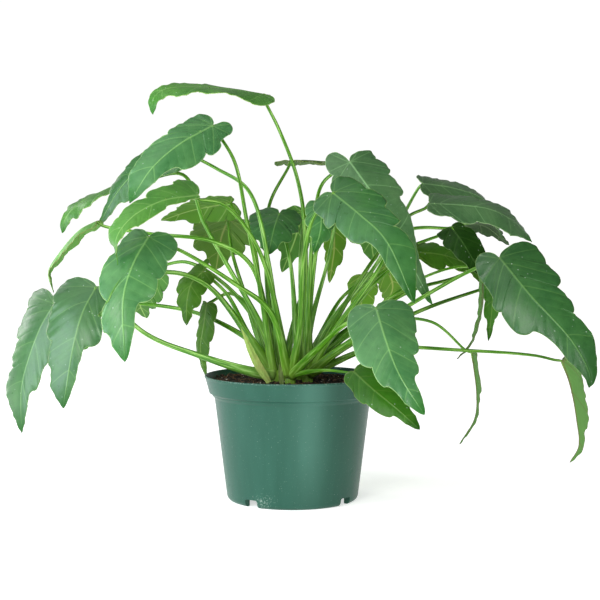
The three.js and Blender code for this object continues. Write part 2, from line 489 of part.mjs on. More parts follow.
// The neck goes on from the stalk's end, passes the joint and runs out in the midrib's underside
function neckGeometry(leaf) {
  const curve = stalkCurve(leaf);
  const { point, frameAt, length } = bladeSurface(leaf);
  const total = curve.getLength();
  const before = [NECK.length, NECK.length / 2].map((way) => curve.getPointAt(1 - way / total));
  const under = [0, NECK.reach / length]
    .map((along) => point(along, 0, 1).addScaledVector(frameAt(along).up, -NECK.sunk));
  const { endRadius, sides } = STALK;
  const facing = curve.getTangentAt(1 - NECK.length / total);
  return taperedTube([...before, ...under], [endRadius, endRadius, endRadius, NECK.endRadius], sides, { facing });
}

function potGeometry() {
  const bandFoot = POT.height - POT.bandHeight;
  const bodyTop = bandFoot - POT.shoulderHeight;
  const floorTop = POT.floorHeight + POT.wall;
  const profile = [
    [0, POT.floorHeight],
    [POT.footInnerRadius, POT.floorHeight],
    [POT.footInnerRadius, 0],
    [POT.footRadius, 0],
    [POT.bodyFootRadius - 1, 1.5],
    [POT.bodyFootRadius, POT.cornerHeight],
    [POT.bodyTopRadius, bodyTop],
    [POT.bandFootRadius, bandFoot],
    [POT.rimRadius, POT.height - 0.8],
    [POT.rimRadius - 0.8, POT.height],
    [POT.rimRadius - POT.wall, POT.height - 0.5],
    [POT.bandFootRadius - POT.wall, bandFoot + 0.8],
    [POT.bodyTopRadius - POT.wall, bodyTop + 0.5],
    [POT.bodyFootRadius - POT.wall, floorTop + 1.5],
    [POT.bodyFootRadius - POT.wall - 1.5, floorTop],
    [0, floorTop],
  ];
  let shell = solid(turned(profile, POT.facets));
  for (let i = 0; i < NOTCH.count; i += 1) {
    const angle = radians(NOTCH.firstAngle + (i * 360) / NOTCH.count);
    const cutter = new THREE.BoxGeometry(NOTCH.width, NOTCH.depth, NOTCH.height + 1)
      .translate(0, -POT.bodyFootRadius, NOTCH.height / 2 - 0.5)
      .rotateZ(angle);
    shell = shell.subtract(solid(cutter));
  }
  return geometryOf(shell);
}

// Low lumps in the soil's surface, which lies a little higher on the left, by a formula of place
const lumpAt = (x, y) => -SOIL.tilt * x + SOIL.lump * (0.6 * Math.sin(x * 0.23 + 1.3) * Math.cos(y * 0.19 - 0.4)
  + 0.4 * Math.sin(x * 0.51 - y * 0.37));

function soilGeometry() {
  const top = POT.height - SOIL.belowRim;
  const bodyTop = POT.height - POT.bandHeight - POT.shoulderHeight;
  const floorTop = POT.floorHeight + POT.wall + GAP;
  const inner = POT.wall + GAP;
  const shoulderTop = POT.height - POT.bandHeight + 0.8;
  const slope = (POT.rimRadius - POT.bandFootRadius) / POT.bandHeight;
  const edge = POT.bandFootRadius - inner + (top - shoulderTop) * slope - 0.2;
  const profile = [[0, floorTop], [POT.bodyFootRadius - inner - 1.9, floorTop],
    [POT.bodyFootRadius - inner - 0.3, floorTop + 1.8], [POT.bodyTopRadius - inner - 0.3, bodyTop],
    [edge, top]];
  for (let i = SOIL.rings - 1; i >= 0; i -= 1) profile.push([(edge * i) / SOIL.rings, top]);
  const geometry = closed(turned(profile, SOIL.facets));
  const place = geometry.getAttribute('position');
  for (let i = 0; i < place.count; i += 1) {
    const [x, y, z] = [place.getX(i), place.getY(i), place.getZ(i)];
    if (z > top - 0.1 && Math.hypot(x, y) < edge - 1) place.setZ(i, z + lumpAt(x, y));
  }
  const holeRadius = (STEM.footRadius + GAP) / Math.cos(Math.PI / SOIL.holeFacets);
  let body = solid(geometry);
  for (const [x, y] of Object.values(CROWNS)) {
    const hole = new THREE.CylinderGeometry(holeRadius, holeRadius, SOIL.holeDepth, SOIL.holeFacets)
      .rotateX(Math.PI / 2).translate(x, y, STEM.footZ - GAP + SOIL.holeDepth / 2);
    body = body.subtract(solid(hole));
  }
  return geometryOf(body);
}

function crownGeometry(name) {
  const [x, y] = CROWNS[name];
  const stem = turned([[0, STEM.footZ], [STEM.footRadius, STEM.footZ], [STEM.topRadius, STEM.topZ],
    [0, STEM.topZ + 2]], STEM.facets).translate(x, y, 0);
  const stalks = LEAVES.filter((leaf) => leaf.crown === name).map((leaf) => solid(stalkGeometry(leaf)));
  return geometryOf(stalks.reduce((body, stalk) => body.add(stalk), solid(stem)));
}

function bladeWithNeck(leaf) {
  return geometryOf(solid(bladeGeometry(leaf)).add(solid(neckGeometry(leaf))));
}

function piece(name, geometry, color, roughness) {
  geometry.computeVertexNormals();
  const material = new THREE.MeshStandardMaterial({ color, roughness, metalness: 0, flatShading: true });
  const mesh = new THREE.Mesh(geometry, material);
  mesh.name = name;
  return mesh;
}

const plant = new THREE.Group();
plant.add(piece('pot', potGeometry(), 0x467868, 0.45));
plant.add(piece('soil', soilGeometry(), 0x2b211b, 0.95));
for (const name of Object.keys(CROWNS)) {
  plant.add(piece(`crown_${name}`, crownGeometry(name), 0x6fae3f, 0.45));
}
LEAVES.forEach((leaf, i) => {
  const name = `blade_${String(i + 1).padStart(2, '0')}`;
  plant.add(piece(name, bladeWithNeck({ edges: [PLAIN_EDGE, PLAIN_EDGE], ...leaf }), 0x3f7f3c, 0.4));
});
SHEATHS.forEach((sheath, i) => {
  const body = solid(bladeGeometry({ edges: [SHEATH_EDGE, SHEATH_EDGE], ...sheath }));
  plant.add(piece(`sheath_${i + 1}`, geometryOf(body), 0xb9bf72, 0.7));
});

export default plant;
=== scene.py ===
"""Looks of a potted xanadu philodendron: lobed leaves on long stalks, papery old sheaths, potting
mix and a green nursery pot. Tables are in millimetres, what Blender gets is in metres."""
import logging
import math
import random
from dataclasses import dataclass, field
from enum import Enum

import bpy
import numpy as np
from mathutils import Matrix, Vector


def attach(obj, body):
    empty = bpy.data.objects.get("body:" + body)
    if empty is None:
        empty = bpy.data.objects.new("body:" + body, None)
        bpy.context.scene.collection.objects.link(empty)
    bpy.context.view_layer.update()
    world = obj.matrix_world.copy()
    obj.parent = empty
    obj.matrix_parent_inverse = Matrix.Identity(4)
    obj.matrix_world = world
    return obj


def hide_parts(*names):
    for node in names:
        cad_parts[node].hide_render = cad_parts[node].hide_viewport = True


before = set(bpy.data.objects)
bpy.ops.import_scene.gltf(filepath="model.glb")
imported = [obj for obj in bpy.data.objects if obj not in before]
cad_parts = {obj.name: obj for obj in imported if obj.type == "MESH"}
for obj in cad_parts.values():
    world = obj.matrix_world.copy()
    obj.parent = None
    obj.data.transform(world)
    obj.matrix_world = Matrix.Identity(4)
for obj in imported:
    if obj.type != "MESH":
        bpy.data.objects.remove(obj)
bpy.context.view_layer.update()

MM = 0.001
SEED = 71
SHEATH_SEED = 50
FROM = ("From Min", "From Max")
TO = ("To Min", "To Max")
# The part of a noise's range in which nearly all of it lies
NOISE_RANGE = (0.3, 0.7)
Point = tuple[float, float, float]
Span = tuple[float, float]
Edge = tuple[Span, ...]
Material = bpy.types.Material
Tree = bpy.types.NodeTree
Socket = bpy.types.NodeSocket

logging.basicConfig(level=logging.INFO, format="%(message)s")
log = logging.getLogger("potted_philodendron")


def linear(hex_colour: str) -> tuple[float, float, float, float]:
    """Turns a colour from sRGB to linear light.

    Args:
        hex_colour: six hex digits.

    Returns:
        Red, green, blue and an alpha of one.
    """
    channels = [int(hex_colour[i:i + 2], 16) / 255 for i in (0, 2, 4)]
    light = [c / 12.92 if c <= 0.04045 else ((c + 0.055) / 1.055) ** 2.4 for c in channels]
    return (light[0], light[1], light[2], 1.0)


def add_node(tree: Tree, kind: str, inputs: dict | None = None, **settings) -> bpy.types.Node:
    """Adds a node with its settings and links.

    Args:
        tree: the material's or the world's node tree.
        kind: the node's type without the word ShaderNode.
        inputs: what goes into each input, by name or number: a socket is linked, a value is set. A
            pair of names takes a pair of them.
        settings: the node's own properties.

    Returns:
        The new node.
    """
    made = tree.nodes.new("ShaderNode" + kind)
    for name, value in settings.items():
        setattr(made, name, value)
    for names, values in (inputs or {}).items():
        for name, value in zip(names, values) if isinstance(names, tuple) else [(names, values)]:
            if isinstance(value, Socket):
                tree.links.new(value, made.inputs[name])
            else:
                made.inputs[name].default_value = value
    return made


def new_material(name: str) -> tuple[Material, Tree]:
    """Makes an empty node material.

    Args:
        name: the material's name.

    Returns:
        The material and its node tree.
    """
    material = bpy.data.materials.new(name)
    material.use_nodes = True
    material.node_tree.nodes.clear()
    return material, material.node_tree


def metres(sizes: tuple[float, ...]) -> list[float]:
    """Turns sizes from mm to metres."""
    return [size * MM for size in sizes]


class Slot(Enum):
    """The pieces' material slots."""

    POT = "pot"
    SOIL = "soil"
    STALKS = "stalks"
    LEAF = "leaf"
    SHEATH = "sheath"


@dataclass(frozen=True)
class LeafColours:
    """The colours of one leaf: the blade's two greens, its veins, its margin, its underside and its tip,
    whose deeper green is painted shade, how much its wax shines, and how wide its margin is in mm."""

    deep_shade: str
    light: str
    vein: str
    margin: str
    under: str
    tip: str
    wax: float
    rim: float = 0.55


class Tone(Enum):
    """How old a leaf is, which sets its colours; SHADED and DEEP_SHADE are also duller, darker copies
    painted with the shade the leaves sit in.
    """

    GLAUCOUS = LeafColours("3c7440", "52874c", "84b868", "a9cf7e", "5a8e38", "20661a", 0.55)
    GREEN = LeafColours("306a32", "437e3c", "79b05c", "a6cc72", "56893a", "1e6014", 0.42)
    YOUNG = LeafColours("467f34", "5a943e", "88b864", "aed070", "629a3c", "2c7014", 0.3)
    FRESH = LeafColours("3f841a", "529a26", "83b84a", "aed070", "629a2c", "2e6e12", 0.12)
    SHADED = LeafColours("375c35", "486a41", "76a068", "8fb074", "4f7d3c", "205614", 0.45)
    OLIVE = LeafColours("3d6e14", "4d7c22", "7ea04c", "98a858", "5a8626", "3a6414", 0.08)
    DRYING = LeafColours("4c7a38", "5e9046", "8ab464", "6f6a3c", "66964a", "3f6420", 0.25, 1.0)
    DEEP_SHADE = LeafColours("1c4a0a", "295a12", "527f36", "76a04a", "3a6a1c", "1a4408", 0.04)


@dataclass(frozen=True)
class WaxedLamina:
    """Living leaf blade with a waxed skin, grown and not made. The eye sees a satin green with a bluish haze
    of light on it, pale veins and a thin rim. A deeper green towards the tip and a darker base are painted
    shade. Sizes are in mm, and a share says how strongly a line, a speck of dust or the tip's painted shade
    shows. The skin's real pores are too fine to show, so they are drawn as coarse as they need to be."""

    tone: Tone
    rib: Span = (1.2, 0.68)
    vein: Span = (0.85, 0.36)
    thread: Span = (0.6, 0.07)
    margin_share: float = 0.7
    under_rib: Span = (1.8, 0.9)
    under_vein: Span = (0.85, 0.6)
    # Painted shade: the colour darkens towards the tip from tip_reach on, and towards the base before
    # base_reach; tip_reach also sets where the coat thins
    tip_reach: Span = (0.8, 0.97)
    tip_shade_share: float = 0.92
    base_reach: float = 0.35
    base_shade: Span = (0.8, 1.02)
    cell: float = 5.0
    mottling: Span = (0.95, 1.05)
    under_mottling: float = 0.35
    pore: float = 0.9
    pore_depth: float = 0.2
    speck_gap: float = 6.0
    speck_size: Span = (0.05, 0.11)
    speck_share: float = 0.75
    dust: str = "c4d4c0"
    roughness: Span = (0.26, 0.48)
    under_roughness: float = 0.6
    ior: float = 1.45
    under_ior: float = 1.4
    specular: Span = (0.15, 0.26)
    under_specular: float = 0.3
    coat: Span = (1.15, 0.1)
    coat_roughness: float = 0.29
    glow: str = "9ccf3f"
    glow_tint: float = 0.45
    glow_share: float = 0.22

    def make(self) -> Material:
        """Builds the upper face's material.

        Returns:
            The material.
        """
        material, tree = new_material(f"leaf_upper_{self.tone.name.lower()}")
        colours, wax = self.tone.value, self.tone.value.wax
        place = add_node(tree, "TexCoord").outputs["Object"]
        reach = add_node(tree, "Attribute", attribute_name="reach").outputs["Fac"]
        cloud = add_node(tree, "TexNoise", {
            "Vector": place, "Scale": 1 / (self.cell * 4 * MM), "Detail": 4.0})
        blend = add_node(tree, "MapRange", {"Value": cloud.outputs["Fac"], FROM: NOISE_RANGE})
        mottle = add_node(tree, "TexNoise", {
            "Vector": place, "Scale": 1 / (self.cell * MM), "Detail": 3.0})
        light = add_node(tree, "MapRange", {
            "Value": mottle.outputs["Fac"], FROM: (0.35, 0.65), TO: self.mottling})
        colour = add_node(tree, "Mix", {
            0: blend.outputs[0], 6: linear(colours.deep_shade), 7: linear(colours.light)},
            data_type="RGBA").outputs[2]
        colour = add_node(tree, "Mix", {
            0: 1.0, 6: colour, 7: light.outputs[0]}, data_type="RGBA", blend_type="MULTIPLY").outputs[2]
        colour = self.lined(tree, colour, 0.25, {
            "thread": (*self.thread, colours.vein), "vein": (*self.vein, colours.vein),
            "rib": (*self.rib, colours.vein), "margin": (colours.rim, self.margin_share, colours.margin)})
        # Painted shade: a deeper green towards the tip
        tip_shade = add_node(tree, "MapRange", {"Value": reach, FROM: self.tip_reach, "To Max": self.tip_shade_share})
        colour = add_node(tree, "Mix", {
            0: tip_shade.outputs[0], 6: colour, 7: linear(colours.tip)}, data_type="RGBA").outputs[2]
        # Painted shade: darker towards the blade's base
        base = add_node(tree, "MapRange", {
            "Value": reach, "From Max": self.base_reach, TO: self.base_shade})
        colour = add_node(tree, "Mix", {
            0: 1.0, 6: colour, 7: base.outputs[0]}, data_type="RGBA", blend_type="MULTIPLY").outputs[2]
        colour = self.toned_with_painted_light(tree, colour)
        specks = add_node(tree, "TexVoronoi", {
            "Vector": place, "Scale": 1 / (self.speck_gap * MM), "Randomness": 1.0})
        near = add_node(tree, "MapRange", {
            "Value": specks.outputs["Distance"], FROM: self.speck_size, TO: (self.speck_share, 0.0)})
        dust = add_node(tree, "Math", {0: near.outputs[0], 1: blend.outputs[0]}, operation="MULTIPLY")
        colour = add_node(tree, "Mix", {
            0: dust.outputs[0], 6: colour, 7: linear(self.dust)}, data_type="RGBA").outputs[2]
        bloom = add_node(tree, "MapRange", {
            "Value": reach, FROM: self.tip_reach, TO: (self.coat[0] * wax, self.coat[1] * wax)})
        gloss = add_node(tree, "MapRange", {
            "Value": mottle.outputs["Fac"], FROM: NOISE_RANGE, TO: self.roughness})
        pores = add_node(tree, "TexNoise", {"Vector": place, "Scale": 1 / (self.pore * MM), "Detail": 2.0})
        bump = add_node(tree, "Bump", {
            "Height": pores.outputs["Fac"], "Strength": 0.4, "Distance": self.pore_depth * MM})
        skin = add_node(tree, "BsdfPrincipled", {
            "Base Color": colour, "Roughness": gloss.outputs[0], "Normal": bump.outputs[0],
            "IOR": self.ior, "Specular IOR Level": self.specular[0] + self.specular[1] * wax,
            "Coat Weight": bloom.outputs[0], "Coat Roughness": self.coat_roughness, "Coat IOR": self.ior})
        self.let_through(tree, skin, colour)
        return material

    def make_under(self) -> Material:
        """Builds the underside's material, paler and duller, with raised veins.

        Returns:
            The material.
        """
        material, tree = new_material(f"leaf_under_{self.tone.name.lower()}")
        colours = self.tone.value
        place = add_node(tree, "TexCoord").outputs["Object"]
        cloud = add_node(tree, "TexNoise", {
            "Vector": place, "Scale": 1 / (self.cell * 2 * MM), "Detail": 4.0})
        tint = add_node(tree, "MapRange", {
            "Value": cloud.outputs["Fac"], FROM: NOISE_RANGE, "To Max": self.under_mottling})
        colour = add_node(tree, "Mix", {
            0: tint.outputs[0], 6: linear(colours.under), 7: linear(colours.light)},
            data_type="RGBA").outputs[2]
        colour = self.lined(tree, colour, 0.3, {"vein": (*self.under_vein, colours.margin),
                                                "rib": (*self.under_rib, colours.margin)})
        colour = self.toned_with_painted_light(tree, colour)
        pores = add_node(tree, "TexNoise", {"Vector": place, "Scale": 1 / (self.pore * MM), "Detail": 3.0})
        bump = add_node(tree, "Bump", {
            "Height": pores.outputs["Fac"], "Strength": 0.3, "Distance": self.pore_depth * MM})
        skin = add_node(tree, "BsdfPrincipled", {
            "Base Color": colour, "Roughness": self.under_roughness, "Normal": bump.outputs[0],
            "IOR": self.under_ior, "Specular IOR Level": self.under_specular})
        self.let_through(tree, skin, colour)
        return material

    @staticmethod
    def lined(tree: Tree, colour: Socket, core: float, lines: dict[str, tuple]) -> Socket:
        """Draws soft lines along the veins and the margin.

        Args:
            tree: the material's node tree.
            colour: the blade's colour.
            core: the share of a line's width at which it begins to fade.
            lines: by the name of the distance to it, each line's width, share and colour.

        Returns:
            The colour with the lines.
        """
        for name, (width, share, shade) in lines.items():
            distance = add_node(tree, "Attribute", attribute_name=name)
            mask = add_node(tree, "MapRange", {
                "Value": distance.outputs["Fac"], FROM: (width * core, width), TO: (share, 0.0)},
                interpolation_type="SMOOTHSTEP")
            colour = add_node(tree, "Mix", {
                0: mask.outputs[0], 6: colour, 7: linear(shade)}, data_type="RGBA").outputs[2]
        return colour

    @staticmethod
    def toned_with_painted_light(tree: Tree, colour: Socket) -> Socket:
        """Makes a leaf lighter or darker by its own share, partly its own tone and partly painted light and
        shade.

        Args:
            tree: the material's node tree.
            colour: the leaf's colour.

        Returns:
            The new colour.
        """
        tint = add_node(tree, "Attribute", attribute_name="tint").outputs["Fac"]
        return add_node(tree, "Mix", {
            0: 1.0, 6: colour, 7: tint}, data_type="RGBA", blend_type="MULTIPLY").outputs[2]

    def let_through(self, tree: Tree, skin: bpy.types.Node, colour: Socket) -> None:
        """Lets light from behind glow through the blade, and ends the material.

        Args:
            tree: the material's node tree.
            skin: the surface's own shader.
            colour: the blade's colour.
        """
        warm = add_node(tree, "Mix", {
            0: self.glow_tint, 6: colour, 7: linear(self.glow)}, data_type="RGBA")
        glow = add_node(tree, "BsdfTranslucent", {"Color": warm.outputs[2]})
        both = add_node(tree, "MixShader", {
            "Fac": self.glow_share, 1: skin.outputs[0], 2: glow.outputs[0]})
        add_node(tree, "OutputMaterial", {"Surface": both.outputs[0]})


@dataclass(frozen=True)
class Stalk:
    """Living leaf stalk, juicy and smooth-skinned. The eye sees a glossy yellow-green rod with fine long
    streaks, paler at the foot and where it meets the blade. The streaks' dark and pale bands also paint
    shade into its grooves and highlights onto its ridges, and a stalk whose tint paints it lighter also
    turns greyer, as a painted highlight. Sizes are in mm. Real streaks are finer, and drawn as coarse as
    they need to be to show."""

    foot: str = "7a9e3c"
    body: str = "50851f"
    shade: str = "2b5e0e"
    ridge_highlight: str = "8cb45e"
    joint: str = "72a040"
    streak: float = 1.5
    streak_length: float = 30.0
    streak_depth: float = 0.25
    foot_reach: float = 0.22
    end_shares: Span = (0.75, 0.12)
    highlight_tints: Span = (1.15, 1.9)
    saturation: Span = (1.03, 0.6)
    roughness: float = 0.34
    ior: float = 1.42
    specular: float = 0.27
    juice_depth: float = 2.0

    def make(self) -> Material:
        """Builds the material.

        Returns:
            The material.
        """
        material, tree = new_material("leaf_stalk")
        skin = add_node(tree, "Attribute", attribute_name="skin").outputs["Vector"]
        way = add_node(tree, "Attribute", attribute_name="way").outputs["Fac"]
        tint = add_node(tree, "Attribute", attribute_name="tint").outputs["Fac"]
        drawn = add_node(tree, "Mapping", {
            "Vector": skin, "Scale": (1 / self.streak, 1 / self.streak, 1 / self.streak_length)})
        streaks = add_node(tree, "TexNoise", {"Vector": drawn.outputs[0], "Scale": 1.0, "Detail": 3.0})
        colour = add_node(tree, "ValToRGB", {"Fac": streaks.outputs["Fac"]})
        # Painted shade and highlight: the dark band shades the grooves and the pale band lights the ridges
        self.set_bands(colour, ((0.38, self.shade), (0.52, self.body), (0.64, self.ridge_highlight)))
        ends = add_node(tree, "ValToRGB", {"Fac": way})
        self.set_bands(ends, ((0.02, self.foot), (0.2, self.body), (0.9, self.body), (1.0, self.joint)))
        share = add_node(tree, "MapRange", {
            "Value": way, "From Max": self.foot_reach, TO: self.end_shares})
        mixed = add_node(tree, "Mix", {
            0: share.outputs[0], 6: colour.outputs[0], 7: ends.outputs[0]}, data_type="RGBA")
        # A stalk painted lighter also turns greyer, as a painted highlight
        full = add_node(tree, "MapRange", {"Value": tint, FROM: self.highlight_tints, TO: self.saturation})
        tinted = add_node(tree, "HueSaturation", {
            "Color": mixed.outputs[2], "Value": tint, "Saturation": full.outputs[0]})
        bump = add_node(tree, "Bump", {
            "Height": streaks.outputs["Fac"], "Strength": 0.35, "Distance": self.streak_depth * MM})
        rod = add_node(tree, "BsdfPrincipled", {
            "Base Color": tinted.outputs[0], "Roughness": self.roughness, "Normal": bump.outputs[0],
            "IOR": self.ior, "Specular IOR Level": self.specular, "Subsurface Weight": 0.15,
            "Subsurface Radius": (0.6, 1.0, 0.25), "Subsurface Scale": self.juice_depth * MM})
        add_node(tree, "OutputMaterial", {"Surface": rod.outputs[0]})
        return material

    @staticmethod
    def set_bands(node: bpy.types.Node, bands: tuple[tuple[float, str], ...]) -> None:
        """Sets a ramp's colours.

        Args:
            node: the ramp.
            bands: places and colours, from low to high.
        """
        elements = node.color_ramp.elements
        for element, (position, colour) in zip(elements, (bands[0], bands[-1])):
            element.position, element.color = position, linear(colour)
        for position, colour in bands[1:-1]:
            elements.new(position).color = linear(colour)


@dataclass(frozen=True)
class PaperySheath:
    """Dead leaf sheath, dried on the plant. The eye sees a thin straw-green skin with long fibres
    and patches of a drier tone. Sizes are in mm. Real fibres are finer, and drawn as coarse as they
    need to be to show."""

    fresh: str = "8fab50"
    dry: str = "93a052"
    fibre: float = 0.8
    fibre_depth: float = 0.3
    fibre_light: Span = (0.75, 1.1)
    drawn: Point = (1, 1, 0.12)
    patch: float = 14.0
    roughness: float = 0.75
    ior: float = 1.45

    def make(self) -> Material:
        """Builds the material.

        Returns:
            The material.
        """
        material, tree = new_material("papery_sheath")
        place = add_node(tree, "TexCoord").outputs["Object"]
        patches = add_node(tree, "TexNoise", {
            "Vector": place, "Scale": 1 / (self.patch * MM), "Detail": 5.0})
        long = add_node(tree, "Mapping", {"Vector": place, "Scale": self.drawn})
        fibres = add_node(tree, "TexNoise", {
            "Vector": long.outputs[0], "Scale": 1 / (self.fibre * MM), "Detail": 2.0})
        dried = add_node(tree, "MapRange", {"Value": patches.outputs["Fac"], FROM: (0.45, 0.62)})
        colour = add_node(tree, "Mix", {
            0: dried.outputs[0], 6: linear(self.fresh), 7: linear(self.dry)}, data_type="RGBA").outputs[2]
        light = add_node(tree, "MapRange", {
            "Value": fibres.outputs["Fac"], FROM: NOISE_RANGE, TO: self.fibre_light})
        colour = add_node(tree, "Mix", {
            0: 1.0, 6: colour, 7: light.outputs[0]}, data_type="RGBA", blend_type="MULTIPLY").outputs[2]
        colour = WaxedLamina.toned_with_painted_light(tree, colour)
        bump = add_node(tree, "Bump", {
            "Height": fibres.outputs["Fac"], "Strength": 0.6, "Distance": self.fibre_depth * MM})
        skin = add_node(tree, "BsdfPrincipled", {
            "Base Color": colour, "Roughness": self.roughness, "Normal": bump.outputs[0], "IOR": self.ior})
        add_node(tree, "OutputMaterial", {"Surface": skin.outputs[0]})
        return material


@dataclass(frozen=True)
class MouldedPolypropylene:
    """Injection-moulded polypropylene, dyed sea green. The eye sees a satin plastic with faint upright flow
    lines, fine scuffs, a rubbed spot beside a notch, and a little dust of the soil near its foot and its
    lip. A broad pale upright band down the front of the body is a painted highlight. Sizes are in mm. The
    mould's real grain is finer, and drawn as coarse as it needs to be to show."""

    colour: str = "1f4c3d"
    pale: str = "2f6050"
    painted_highlight_colour: str = "588a7a"
    dust: str = "9fb0a4"
    flow: float = 9.0
    flow_share: float = 0.28
    drawn: Point = (1, 1, 0.1)
    # Painted highlight: a broad pale upright band where the body faces this way, stronger higher up the body
    highlight_facing: Span = (0.23, -0.97)
    highlight_focus: float = 45.0
    highlight_heights: Span = (4.0, 50.0)
    highlight_shares: Span = (0.12, 0.38)
    scuff: float = 1.2
    scratch_gap: float = 7.2
    scratch_dullness: float = 0.12
    dust_heights: Span = (4.0, 22.0)
    dust_shares: Span = (0.4, 0.05)
    rub_place: Point = (-24.0, -51.0, 6.0)
    rub_radii: Span = (2.0, 13.0)
    rub_wear: float = 0.17
    lip_heights: Span = (106.4, 107.6)
    lip_wear: float = 0.16
    chafed_share: float = 0.5
    grain: float = 0.8
    grain_depth: float = 0.12
    roughness: Span = (0.28, 0.46)
    ior: float = 1.49
    specular: float = 0.26

    def make(self) -> Material:
        """Builds the material.

        Returns:
            The material.
        """
        material, tree = new_material("moulded_polypropylene")
        place = add_node(tree, "TexCoord").outputs["Object"]
        height = add_node(tree, "SeparateXYZ", {"Vector": place}).outputs["Z"]
        long = add_node(tree, "Mapping", {"Vector": place, "Scale": self.drawn})
        flow = add_node(tree, "TexNoise", {
            "Vector": long.outputs[0], "Scale": 1 / (self.flow * MM), "Detail": 3.0}).outputs["Fac"]
        tint = add_node(tree, "MapRange", {"Value": flow, FROM: (0.35, 0.75), "To Max": self.flow_share})
        spots = add_node(tree, "TexNoise", {
            "Vector": place, "Scale": 1 / (self.scuff * MM), "Detail": 5.0}).outputs["Fac"]
        colour = linear(self.colour)
        # The second mix paints the highlight band; the first adds flow lines and the third dust
        for share, shade in ((tint.outputs[0], self.pale), (self.band(tree, place, height), self.painted_highlight_colour),
                             (self.soiled(tree, place, height, spots), self.dust)):
            colour = add_node(tree, "Mix", {
                0: share, 6: colour, 7: linear(shade)}, data_type="RGBA").outputs[2]
        marks = add_node(tree, "TexVoronoi", {
            "Vector": place, "Scale": 1 / (self.scratch_gap * MM), "Randomness": 1.0},
            feature="DISTANCE_TO_EDGE")
        scratches = add_node(tree, "MapRange", {
            "Value": marks.outputs["Distance"], "From Max": 0.03, TO: (self.scratch_dullness, 0.0)})
        dull = add_node(tree, "MapRange", {"Value": flow, TO: self.roughness})
        rough = add_node(tree, "Math", {0: dull.outputs[0], 1: scratches.outputs[0]}, operation="ADD")
        grain = add_node(tree, "TexNoise", {
            "Vector": place, "Scale": 1 / (self.grain * MM), "Detail": 2.0})
        bump = add_node(tree, "Bump", {
            "Height": grain.outputs["Fac"], "Strength": 0.12, "Distance": self.grain_depth * MM})
        skin = add_node(tree, "BsdfPrincipled", {
            "Base Color": colour, "Roughness": rough.outputs[0], "Normal": bump.outputs[0],
            "IOR": self.ior, "Specular IOR Level": self.specular})
        add_node(tree, "OutputMaterial", {"Surface": skin.outputs[0]})
        return material

    def band(self, tree: Tree, place: Socket, height: Socket) -> Socket:
        """Finds how much of the painted highlight, a broad pale upright band, shows.

        Args:
            tree: the material's node tree.
            place: the place on the pot.
            height: its height.

        Returns:
            The share.
        """
        flat = add_node(tree, "VectorMath", {0: place, 1: (1.0, 1.0, 0.0)}, operation="MULTIPLY")
        around = add_node(tree, "VectorMath", {0: flat.outputs[0]}, operation="NORMALIZE")
        facing = add_node(tree, "VectorMath", {
            0: around.outputs[0], 1: (*self.highlight_facing, 0.0)}, operation="DOT_PRODUCT")
        front = add_node(tree, "MapRange", {"Value": facing.outputs["Value"]})
        band = add_node(tree, "Math", {0: front.outputs[0], 1: self.highlight_focus}, operation="POWER")
        rise = add_node(tree, "MapRange", {
            "Value": height, FROM: metres(self.highlight_heights), TO: self.highlight_shares})
        return add_node(tree, "Math", {
            0: band.outputs[0], 1: rise.outputs[0]}, operation="MULTIPLY").outputs[0]

    def soiled(self, tree: Tree, place: Socket, height: Socket, spots: Socket) -> Socket:
        """Finds how much dust lies near the foot, and at the rubbed spot and the lip.

        Args:
            tree: the material's node tree.
            place: the place on the pot.
            height: its height.
            spots: the noise that breaks the dust up.

        Returns:
            The share.
        """
        foot = add_node(tree, "MapRange", {
            "Value": height, FROM: metres(self.dust_heights), TO: self.dust_shares})
        speck = add_node(tree, "MapRange", {"Value": spots, FROM: (0.66, 0.74)})
        dust = add_node(tree, "Math", {0: speck.outputs[0], 1: foot.outputs[0]}, operation="MULTIPLY")
        away = add_node(tree, "VectorMath", {0: place, 1: metres(self.rub_place)}, operation="DISTANCE")
        rubbed = add_node(tree, "MapRange", {
            "Value": away.outputs["Value"], FROM: metres(self.rub_radii), TO: (self.rub_wear, 0.0)})
        lip = add_node(tree, "MapRange", {
            "Value": height, FROM: metres(self.lip_heights), "To Max": self.lip_wear})
        wear = add_node(tree, "Math", {0: rubbed.outputs[0], 1: lip.outputs[0]}, operation="ADD")
        grit = add_node(tree, "Math", {0: spots, 1: wear.outputs[0]}, operation="ADD")
        chafed = add_node(tree, "MapRange", {
            "Value": grit.outputs[0], FROM: (0.66, 0.82), "To Max": self.chafed_share})
        return add_node(tree, "Math", {
            0: dust.outputs[0], 1: chafed.outputs[0]}, operation="MAXIMUM").outputs[0]


@dataclass(frozen=True)
class PeatMix:
    """Peat potting mix, milled and damp. The eye sees dull near-black crumbs of a size in mm, with
    red-brown fibres and a few pale grains."""

    dark: str
    light: str
    crumb: float = 1.6
    roughness: float = 0.92
    ior: float = 1.4

    def make(self, name: str) -> Material:
        """Builds the material.

        Args:
            name: the material's name.

        Returns:
            The material.
        """
        material, tree = new_material(name)
        place = add_node(tree, "TexCoord").outputs["Object"]
        coarse = add_node(tree, "TexNoise", {
            "Vector": place, "Scale": 1 / (self.crumb * 2 * MM), "Detail": 6.0}).outputs["Fac"]
        mix = add_node(tree, "MapRange", {"Value": coarse, FROM: (0.42, 0.68)})
        colour = add_node(tree, "Mix", {
            0: mix.outputs[0], 6: linear(self.dark), 7: linear(self.light)}, data_type="RGBA")
        bump = add_node(tree, "Bump", {"Height": coarse, "Strength": 0.9, "Distance": self.crumb * MM})
        skin = add_node(tree, "BsdfPrincipled", {
            "Base Color": colour.outputs[2], "IOR": self.ior, "Roughness": self.roughness,
            "Normal": bump.outputs[0]})
        add_node(tree, "OutputMaterial", {"Surface": skin.outputs[0]})
        return material


